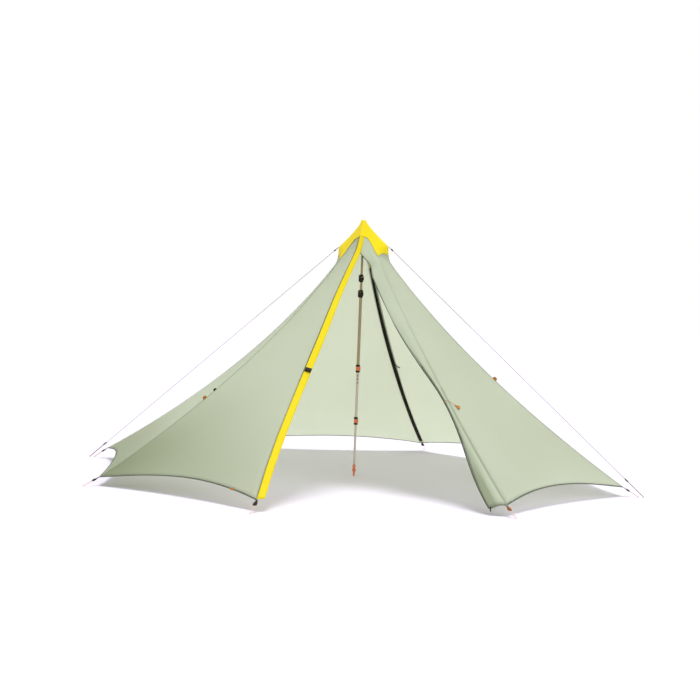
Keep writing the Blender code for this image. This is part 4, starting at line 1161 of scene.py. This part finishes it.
def knot_mesh(radius, length):
    """A rounded bead or knot with a waist, along X."""
    bm = bmesh.new()
    rings = []
    steps = 8
    sides = 14
    for k in range(steps + 1):
        share = k / steps
        waist = 1.0 - 0.18 * math.sin(math.pi * share) ** 8
        wide = radius * math.sin(math.pi * (0.08 + 0.84 * share)) ** 0.6 * waist
        ring = []
        for j in range(sides):
            angle = 2 * math.pi * j / sides
            spot = (length * (share - 0.5), wide * math.cos(angle), wide * math.sin(angle))
            ring.append(bm.verts.new(spot))
        rings.append(ring)
    for a, b in zip(rings, rings[1:]):
        for j in range(sides):
            bm.faces.new((a[j], a[(j + 1) % sides], b[(j + 1) % sides], b[j]))
    bm.faces.new(rings[0][::-1])
    bm.faces.new(rings[-1])
    bmesh.ops.recalc_face_normals(bm, faces=bm.faces)
    return mesh_of(bm, "knot")


def guy_lines():
    """Each guy line runs from the cap to its stake, turns round it and comes back up to its
    tensioner. A black bead sits near the cap and a knot at the cord's end."""
    for name in ("left", "right"):
        lobe = ridge(name, GUY_SHARE, 0.0018)
        reach = Vector(CORNERS[name][:2]).length + GUY_REACH
        anchor = outward(name) * reach + UP * GUY_ANCHOR_HEIGHT
        placed = along(lobe, anchor - lobe, UP.cross(outward(name)))
        total = (anchor - lobe).length
        turn = GUY_LOOP_WIDTH / 2
        back_at = total - GUY_LOOP_LENGTH - TENSIONER_LENGTH / 2
        route = hairpin(GUY_START, total - turn, back_at, turn, turn, (29, 8, 6))
        points = [placed @ p for p in route]
        data = cord_curve(name + "_guy_cord", points, GUY_RADIUS)
        cord = add_piece(name + "_guy_cord", data, GUY_CORD, [name + "_guy_line"])
        bead = knot_mesh(*GUY_BEAD)
        bead.transform(placed @ Matrix.Translation((GUY_BEAD_AT, 0.0, 0.0)))
        knot = add_piece(name + "_guy_knot", bead, BLACK_ACETAL)
        tip = knot_mesh(*GUY_END_KNOT)
        tip.transform(placed @ Matrix.Translation((back_at - 0.003, GUY_LOOP_WIDTH, 0.0)))
        tip = add_piece(name + "_guy_end_knot", tip, GUY_CORD)
        taut_cord(cord, points, GUY_RADIUS, with_pieces=[knot, tip])


def stake_loops():
    """The ground loop of each corner: out of its adjuster, round the stake and back."""
    for name in NAMES:
        spot = corner(name)
        reach = Vector((spot.x, spot.y, 0.0)).length + STAKE_REACH
        stake = outward(name) * reach + UP * LOOP_RADIUS
        placed = along(spot, stake - spot, UP.cross(outward(name)))
        turn = LOOP_WIDTH / 2
        bend_at = (stake - spot).length - turn
        route = hairpin(LOOP_START, bend_at, LOOP_START, turn, 0.0, (7, 16, 7))
        points = [placed @ p for p in route]
        data = cord_curve(name + "_loop_cord", points, LOOP_RADIUS)
        nodes = [name + "_stake_loop"]
        cord = add_piece(name + "_loop_cord", data, LOOP_CORD, nodes, body=name + "_loop")
        taut_cord(cord, points, LOOP_RADIUS)


def door_tie():
    """The elastic cord round the gathered door, with its toggle."""
    points = smooth_route(TIE_ROUTE, TIE_POINTS)
    data = cord_curve("door_tie_elastic", points, TIE_RADIUS)
    cord = add_piece("door_tie_elastic", data, TIE_CORD, ["door_tie_cord"])
    taut_cord(cord, points, TIE_RADIUS, with_pieces=[door_toggle()])


# Tabs, buckle, toggle and marks


def ridge_frame(name, share):
    """A frame for a tab on a ridge: X down it, Z out."""
    run = ridge(name, share + 0.005) - ridge(name, share - 0.005)
    return along(ridge(name, share, RIDGE_TAB_LIFT), run, UP.cross(outward(name)))


def webbing_tab(name, placed, size, material, nodes=()):
    """A short piece of folded webbing that stands up from its seam, rounded at its corners."""
    length, height, thickness = size
    steps = 12
    rows = []
    for k in range(steps + 1):
        share = 2.0 * k / steps - 1.0
        tall = height * (1.0 - abs(share) ** 5) + 0.002
        rows.append([
            (placed @ Vector((0.5 * length * share, 0.0, tall * z)), (length * k / steps, tall * z))
            for z in (0.0, 0.35, 0.7, 1.0)
        ])
    data = sheet_mesh(name, rows, placed.col[1].to_3d())
    return thicken(add_piece(name, data, material, nodes), thickness)


def tabs():
    """Webbing tabs on the ridges and the hem."""
    for name, share in (("front_left", 0.660), ("right", 0.560)):
        webbing_tab(
            name + "_ridge_webbing", ridge_frame(name, share), RIDGE_TAB, ORANGE_WEBBING,
            nodes=[name + "_ridge_tab"],
        )
    webbing_tab(
        "front_left_dark_tab", ridge_frame("front_left", 0.625), DARK_TAB, BLACK_WEBBING,
    )
    wall = ("front", "front_left")
    spot = hem_point(*wall, HEM_TAB_ACROSS, HEM_TAB_RISE)
    run = hem_point(*wall, HEM_TAB_ACROSS + 0.020, HEM_TAB_RISE) - spot
    out = (hem_point(*wall, HEM_TAB_ACROSS, 0.030) - spot).cross(run)
    placed = along(spot + out.normalized() * 0.0026, run, out)
    webbing_tab("front_hem_tab", placed, HEM_TAB, ORANGE_WEBBING)


def zip_strap():
    """A short strap beside the back zip, on the inside of its wall."""

    def place(across, share):
        lift = -STRAP_LIFT - STRAP_BOW * math.sin(math.pi * share)
        down = STRAP_SHARE + STRAP_WIDTH * across + STRAP_SLOPE * share
        return seam_point("back", "back_right", down, STRAP_START + STRAP_LENGTH * share, lift)

    tape_along(
        "back_zip_strap", place, [k / 8 for k in range(9)], 2, HEM_GREEN, 0.0014,
        out=-outward("back"),
    )


def on_surface(node, height, sideways):
    """Where the front of a pole node is met at a height, coming level towards the pole."""
    side = UP.cross(POLE_FRONT)
    away = 0.2
    start = POLE_FRONT * away + side * sideways + UP * height
    spot, out = bpy.data.objects[node].ray_cast(start, -POLE_FRONT)[1:3]
    return along(spot, out)


def printed_mark(name, node, body, height):
    """A printed oval that lies on the front of a tube, thin enough to slide into the next one. Its
    top and bottom keep a little width, so that no face closes up."""
    spot = on_surface(node, height, 0.0).translation
    middle = math.atan2(spot.y, spot.x)
    radius = math.hypot(spot.x, spot.y)
    rows = []
    for k in range(MARK_STEPS + 1):
        up = 2.0 * k / MARK_STEPS - 1.0
        half = MARK_HALF / radius * math.sqrt(1.0 - MARK_TAPER * up * up)
        row = []
        for j in range(MARK_STEPS + 1):
            angle = middle + half * (2.0 * j / MARK_STEPS - 1.0)
            point = Vector((math.cos(angle), math.sin(angle), 0.0)) * (radius + MARK_INK)
            row.append((point + UP * (height + MARK_HALF * up), (radius * angle, MARK_HALF * up)))
        rows.append(row)
    data = sheet_mesh(name, rows, Vector((spot.x, spot.y, 0.0)))
    thicken(add_piece(name, data, BLACK_ACETAL, body=body), MARK_INK)


def pole_marks():
    """The height marks on the lower tube, and the two small release buttons on the top levers."""
    for k, height in enumerate(MARK_HEIGHTS):
        name = "pole_height_mark_" + str(k + 1)
        printed_mark(name, "pole_lower_middle_tube", "pole_lower_middle", height)
    buttons = (("top_lever", 1.3250, 0.004, 0.0050), ("upper_lever", 1.2260, -0.005, 0.0036))
    for body, height, sideways, radius in buttons:
        node = "pole_" + body
        button = knot_mesh(radius, BUTTON_THICKNESS)
        button.transform(on_surface(node, height, sideways))
        add_piece(node + "_button", button, ORANGE_ACETAL, body=body)


def ease_edges(bm, edge):
    """Round the sharp edges of a solid and give back its mesh."""
    bm.normal_update()
    sharp = [e for e in bm.edges if len(e.link_faces) == 2 and e.calc_face_angle(0.0) > SHARP_ANGLE]
    bmesh.ops.bevel(bm, geom=sharp, offset=edge, segments=2, affect="EDGES", clamp_overlap=True)
    return mesh_of(bm, "plate")


def plate(xs, ys, holes, thickness, edge):
    """A flat plate with eased edges, made of a grid of cells. The cells named as holes stay open."""
    bm = bmesh.new()
    grid = [[bm.verts.new((x, y, -thickness / 2)) for y in ys] for x in xs]
    for i in range(len(xs) - 1):
        for j in range(len(ys) - 1):
            if (i, j) not in holes:
                bm.faces.new((grid[i][j], grid[i + 1][j], grid[i + 1][j + 1], grid[i][j + 1]))
    raised = bmesh.ops.extrude_face_region(bm, geom=bm.faces[:])
    for item in raised["geom"]:
        if isinstance(item, bmesh.types.BMVert):
            item.co.z += thickness
    bmesh.ops.recalc_face_normals(bm, faces=bm.faces)
    return ease_edges(bm, edge)


def flap_buckle():
    """The ladder buckle on the front flap: two side rails, three bars and a piece of webbing."""
    ends = [flap_point("front", 0.5, BUCKLE_SHARE + step, 0.0) for step in (-0.005, 0.005)]
    sides = [flap_point("front", across, BUCKLE_SHARE, 0.0) for across in (0.0, 1.0)]
    placed = along(middle_of("flap_buckle"), ends[1] - ends[0], sides[1] - sides[0])
    placed = placed @ Matrix.Translation((0.0, 0.0, BUCKLE_LIFT))
    data = plate(BUCKLE_BARS, BUCKLE_RAILS, BUCKLE_SLOTS, BUCKLE_THICKNESS, BUCKLE_EDGE)
    data.transform(placed)
    add_piece("flap_ladder_buckle", data, BLACK_ACETAL, ["flap_buckle"])
    strap = plate((-0.0145, 0.0145), (-0.0132, 0.0132), (), 0.0018, 0.0005)
    strap.transform(placed @ Matrix.Translation((0.0, 0.0, -0.0014)))
    add_piece("flap_buckle_webbing", strap, BLACK_WEBBING)


def door_toggle():
    """The triangle of folded webbing on the door tie, lying on the wall with a flat side up."""
    level = corner("right") - corner("front_right")
    level.z = 0.0
    placed = along(middle_of("door_toggle"), level, panel_out("front_right", "right").cross(level))
    bm = bmesh.new()
    for face_height in (-TOGGLE_THICKNESS / 2, TOGGLE_THICKNESS / 2):
        for k in range(3):
            angle = math.radians(TOGGLE_TURN + 120.0 * k)
            tip = Vector((math.cos(angle), math.sin(angle), 0.0)) * TOGGLE_REACH
            bm.verts.new(tip + UP * face_height)
    bmesh.ops.convex_hull(bm, input=bm.verts[:])
    bmesh.ops.recalc_face_normals(bm, faces=bm.faces)
    data = ease_edges(bm, TOGGLE_EDGE)
    data.transform(placed @ Matrix.Translation((-0.002, -0.006, 0.0)))
    return add_piece("door_toggle_webbing", data, ORANGE_WEBBING, ["door_toggle"])


# CAD nodes that keep their shape

FINISHED = (
    (GREY_TUBE, ("pole_lower_thin_tube", "pole_lower_middle_tube")),
    (CHAMPAGNE, ("pole_thick_tube", "pole_upper_middle_tube", "pole_upper_thin_tube")),
    (BLACK_ACETAL, (
        "pole_lower_lock", "pole_middle_lock", "pole_upper_lock", "pole_top_lock",
        "pole_upper_lever", "pole_top_lever", "pole_tip", "front_zip_slider", "back_zip_slider",
        "door_corner_toggle",
    )),
    (ORANGE_ACETAL, ("pole_lower_lever", "pole_middle_lever", "pole_foot")),
    (ROSE_WEBBING, ("left_guy_tab", "right_guy_tab")),
    (GREY_ACETAL, ("left_guy_tensioner", "right_guy_tensioner")),
    (BROWN_WEBBING, ("front_right_corner_adjuster",)),
    (BLACK_WEBBING, [name + "_corner_adjuster" for name in NAMES if name != "front_right"]),
)


def finish_nodes():
    """Give every CAD node that stays its material."""
    for material, nodes in FINISHED:
        for node in nodes:
            for slot in bpy.data.objects[node].material_slots:
                slot.material = material


place_camera()
place_lights()
lay_floor()
guy_lines()
stake_loops()
door_tie()
canopy_piece, canopy_flat, canopy_area = canopy()
seam_pieces = ridge_seams()
hem_pieces = hem_bindings()
door_piece, door_flat, door_area, door_trim = gathered_door()
cap_piece, cap_hem = peak_cap()
flap_pieces = storm_flaps()
flap_piping()
zips()
stitches()
zip_coils()
tabs()
zip_strap()
pole_marks()
flap_buckle()
finish_nodes()

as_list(door_trim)
